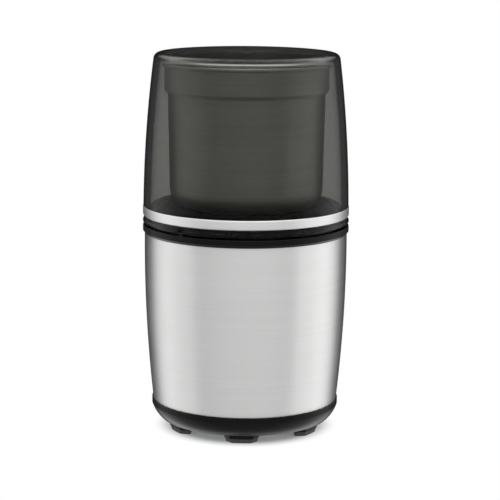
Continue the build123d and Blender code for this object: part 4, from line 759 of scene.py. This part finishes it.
class GRINDER_OT_motor(GrinderStep):
    """Finish the motor's frame, stator, armature, brushes and wiring"""
    bl_idname = "grinder.motor"
    bl_label = "Motor"

    def make(self):
        dress("motor_plate", "lower_bracket", "motor_bolts", "motor_spacers", "motor_grommets",
              "mount_screws", "bearing_upper", "bearing_lower", "stator_core", "field_coil_left",
              "field_coil_right", "armature_core", "armature_winding", "commutator", "motor_shaft", "fan",
              "brush_holder_front", "brush_holder_rear", "carbon_brush_front", "carbon_brush_rear",
              "brush_spring_front", "brush_spring_rear", "terminal_block", "internal_leads")


class GRINDER_OT_switch(GrinderStep):
    """Finish the press ring and the safety switch"""
    bl_idname = "grinder.switch"
    bl_label = "Press ring and switch"

    def make(self):
        dress("press_ring", "switch_body", "switch_button", "switch_lever", "switch_pin")


class GRINDER_OT_return_springs(GrinderStep):
    """Wind the return springs"""
    bl_idname = "grinder.return_springs"
    bl_label = "Return springs"

    def make(self):
        size = sizes()
        for name in sorted(name for name in NODES if name.startswith("return_spring_")):
            low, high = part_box(name)
            middle = (low + high) / 2
            foot = Vector((middle.x, middle.y, low.z))
            builder = bmesh.new()
            coil(builder, foot, high.z - low.z, size.spring_r, size.spring_wire_r, size.spring_turns)
            spring = new_object(name + "_coil", builder, finish_for("zinc_steel"), "base", [name],
                                SPRING_CREASE)
            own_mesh(spring)


# ---- Stage ----
LENS = 140.4
SENSOR = 36.0
CAMERA_PLACE = (0.00241, -1.0671, 0.2923)
CAMERA_TILT = 79.738
CAMERA_ROLL = 0.441
FLOOR_REACH = 30.0
FLOOR_DROP = 0.00005
HALO_INNER = 0.038       # how far from the axis the floor's soft shadow starts to fade
HALO_OUTER = 0.0525      # and where plain white takes over
FLOOR_LIFT = 0.18        # light of its own that keeps that shadow pale

# What the machine reflects, as (how far round from the front at 0 to the back at 1, level) stops:
# above, at and below eye level, with a plain level straight overhead.
ABOVE = ((0.0, 1.0), (0.23, 0.95), (0.33, 1.25), (0.60, 1.5), (0.80, 2.1), (0.93, 1.9), (1.0, 0.5))
LEVEL = ((0.0, 0.84), (0.20, 0.77), (0.33, 1.10), (0.60, 1.30), (0.72, 1.10), (0.79, 0.72), (0.87, 0.22),
         (1.0, 0.03))
BELOW = ((0.0, 0.85), (0.23, 0.85), (0.33, 1.0), (0.60, 1.1), (0.80, 1.6), (0.93, 2.5), (1.0, 0.9))
OVERHEAD = 4.0
RISE = (0.20, 0.48)      # heights of a direction over which eye level gives way to above
TOP = (0.70, 0.90)       # and above to overhead
FALL = (-0.30, -0.70)    # and eye level to below
FRONT_FALL = 0.22        # how much sooner that last change comes at the front
FRONT_WIDTH = 0.25       # and how far round the front reaches
SIDE_TILT = 0.06         # how much brighter +X is than the middle
SOFT_LIGHT = 0.95        # level that lights matt surfaces


def studio_camera():
    """The camera, at the angle that the machine is looked at."""
    data = bpy.data.cameras.new("Camera")
    data.lens = LENS
    data.sensor_width = SENSOR
    data.sensor_fit = "HORIZONTAL"
    data.clip_end = 100.0
    camera = bpy.data.objects.new("Camera", data)
    bpy.context.scene.collection.objects.link(camera)
    camera.location = CAMERA_PLACE
    level = Euler((math.radians(CAMERA_TILT), 0.0, 0.0)).to_quaternion()
    camera.rotation_euler = (level @ Quaternion((0, 0, 1), math.radians(CAMERA_ROLL))).to_euler()
    bpy.context.scene.camera = camera


def studio_floor():
    """A pale floor with the machine's soft shadow on it, plain white further out and unseen from beneath."""
    builder = bmesh.new()
    bmesh.ops.create_grid(builder, x_segments=8, y_segments=8, size=FLOOR_REACH)
    mesh = bpy.data.meshes.new("floor")
    builder.to_mesh(mesh)
    builder.free()
    floor = bpy.data.objects.new("floor", mesh)
    bpy.context.scene.collection.objects.link(floor)
    floor.location.z = -FLOOR_DROP
    floor.visible_glossy = False
    material = bpy.data.materials.new("pale floor")
    material.use_nodes = True
    tree = material.node_tree
    tree.nodes.clear()
    surface = node(tree, "ShaderNodeNewGeometry").outputs
    from_axis = node(tree, "ShaderNodeVectorMath", {0: surface["Position"]}, operation="LENGTH")
    far = eased(tree, from_axis.outputs["Value"], HALO_INNER, HALO_OUTER)
    matt = node(tree, "ShaderNodeBsdfDiffuse", {"Color": (0.80, 0.80, 0.81, 1.0)}).outputs[0]
    lift = node(tree, "ShaderNodeEmission", {"Color": (0.97, 0.98, 1.0, 1.0),
                                             "Strength": FLOOR_LIFT}).outputs[0]
    lifted = node(tree, "ShaderNodeAddShader", {0: matt, 1: lift}).outputs[0]
    white = node(tree, "ShaderNodeEmission", {"Strength": 1.0}).outputs[0]
    shown = node(tree, "ShaderNodeMixShader", {0: far, 1: lifted, 2: white}).outputs[0]
    rays = node(tree, "ShaderNodeLightPath").outputs
    passed = maths(tree, "MULTIPLY", rays["Is Transmission Ray"],
                   maths(tree, "GREATER_THAN", rays["Glossy Depth"], 0.5))
    through = maths(tree, "SUBTRACT", rays["Is Transmission Ray"], passed)
    seen = maths(tree, "MAXIMUM", rays["Is Camera Ray"], through)
    solid = node(tree, "ShaderNodeMixShader", {0: seen, 1: matt, 2: shown}).outputs[0]
    clear = tree.nodes.new("ShaderNodeBsdfTransparent").outputs[0]
    hidden = maths(tree, "MAXIMUM", passed, surface["Backfacing"])
    final = node(tree, "ShaderNodeMixShader", {0: hidden, 1: solid, 2: clear}).outputs[0]
    out = tree.nodes.new("ShaderNodeOutputMaterial")
    tree.links.new(final, out.inputs["Surface"])
    mesh.materials.append(material)


def ramp(tree, factor, stops):
    """A grey level that follows a factor through (position, level) stops."""
    made = node(tree, "ShaderNodeValToRGB", {"Fac": factor})
    made.color_ramp.interpolation = "EASE"
    while len(made.color_ramp.elements) < len(stops):
        made.color_ramp.elements.new(0.5)
    for element, (position, level) in zip(made.color_ramp.elements, stops):
        element.position = position
        element.color = (level, level, level, 1.0)
    return made.outputs[0]


def studio_world():
    """White to look at and a soft even light for matt surfaces. Polished ones get bright sides, top and foot,
    and darkness at eye level behind the machine."""
    world = bpy.data.worlds.new("studio")
    bpy.context.scene.world = world
    world.use_nodes = True
    tree = world.node_tree
    tree.nodes.clear()
    aim = node(tree, "ShaderNodeTexCoord").outputs["Generated"]
    axes = node(tree, "ShaderNodeSeparateXYZ", {0: aim}).outputs
    flat = node(tree, "ShaderNodeCombineXYZ", {"X": axes["X"], "Y": axes["Y"], "Z": 0.0}).outputs[0]
    heading = node(tree, "ShaderNodeVectorMath", {0: flat}, operation="NORMALIZE").outputs[0]
    back = node(tree, "ShaderNodeSeparateXYZ", {0: heading}).outputs["Y"]
    turn = maths(tree, "ADD", maths(tree, "MULTIPLY", back, 0.5), 0.5)
    early = node(tree, "ShaderNodeMapRange", {"Value": turn, "From Min": 0.0, "From Max": FRONT_WIDTH,
                                              "To Min": FRONT_FALL, "To Max": 0.0}).outputs[0]
    rising = eased(tree, axes["Z"], *RISE)
    topping = eased(tree, axes["Z"], *TOP)
    falling = eased(tree, maths(tree, "ADD", axes["Z"], early), *FALL)
    upper = blended(tree, rising, ramp(tree, turn, LEVEL), ramp(tree, turn, ABOVE))
    upper = blended(tree, topping, upper, OVERHEAD)
    all_round = blended(tree, falling, upper, ramp(tree, turn, BELOW))
    tilt = maths(tree, "ADD", maths(tree, "MULTIPLY", axes["X"], SIDE_TILT), 1.0)
    level = maths(tree, "MULTIPLY", all_round, tilt)
    panels = node(tree, "ShaderNodeBackground", {"Strength": level}).outputs[0]
    soft = node(tree, "ShaderNodeBackground", {"Color": (0.96, 0.98, 1.0, 1.0),
                                               "Strength": SOFT_LIGHT}).outputs[0]
    white = node(tree, "ShaderNodeBackground", {"Color": (1.0, 1.0, 1.0, 1.0), "Strength": 1.0}).outputs[0]
    rays = node(tree, "ShaderNodeLightPath").outputs
    through = maths(tree, "MULTIPLY", rays["Is Transmission Ray"],
                    maths(tree, "LESS_THAN", rays["Glossy Depth"], 0.5))
    seen = maths(tree, "MAXIMUM", rays["Is Camera Ray"], through)
    shaped = maths(tree, "MAXIMUM", rays["Is Glossy Ray"], rays["Is Transmission Ray"])
    lit = node(tree, "ShaderNodeMixShader", {0: shaped, 1: soft, 2: panels}).outputs[0]
    final = node(tree, "ShaderNodeMixShader", {0: seen, 1: lit, 2: white}).outputs[0]
    out = tree.nodes.new("ShaderNodeOutputWorld")
    tree.links.new(final, out.inputs["Surface"])


class GRINDER_OT_stage(GrinderStep):
    """Set the floor, the studio light and the camera"""
    bl_idname = "grinder.stage"
    bl_label = "Stage"

    def make(self):
        bpy.context.scene.view_settings.view_transform = "Standard"
        studio_floor()
        studio_world()
        studio_camera()


STEPS = (GRINDER_OT_lid, GRINDER_OT_trim_ring, GRINDER_OT_bowl, GRINDER_OT_sleeve, GRINDER_OT_deck,
         GRINDER_OT_blades, GRINDER_OT_base, GRINDER_OT_motor, GRINDER_OT_switch, GRINDER_OT_return_springs,
         GRINDER_OT_stage)


class GRINDER_PT_panel(bpy.types.Panel):
    """The grinder's steps, sizes and colours"""
    bl_label = "Spice grinder"
    bl_idname = "GRINDER_PT_panel"
    bl_space_type = "VIEW_3D"
    bl_region_type = "UI"
    bl_category = "Grinder"

    def draw(self, context):
        for step in STEPS:
            self.layout.operator(step.bl_idname)
        for holder in (sizes(), colours()):
            column = self.layout.column()
            for name in holder.__annotations__:
                column.prop(holder, name)


CLASSES = (GrinderSizes, GrinderColours) + STEPS + (GRINDER_PT_panel,)


def register():
    """Add the grinder's settings, steps and panel to Blender."""
    for item in CLASSES:
        bpy.utils.register_class(item)
    bpy.types.Scene.grinder_sizes = PointerProperty(type=GrinderSizes)
    bpy.types.Scene.grinder_colours = PointerProperty(type=GrinderColours)


def unregister():
    """Take them out again."""
    del bpy.types.Scene.grinder_colours
    del bpy.types.Scene.grinder_sizes
    for item in reversed(CLASSES):
        bpy.utils.unregister_class(item)


def main():
    """Build the whole grinder."""
    register()
    for step in STEPS:
        family, name = step.bl_idname.split(".")
        getattr(getattr(bpy.ops, family), name)()


if __name__ == "__main__":
    main()
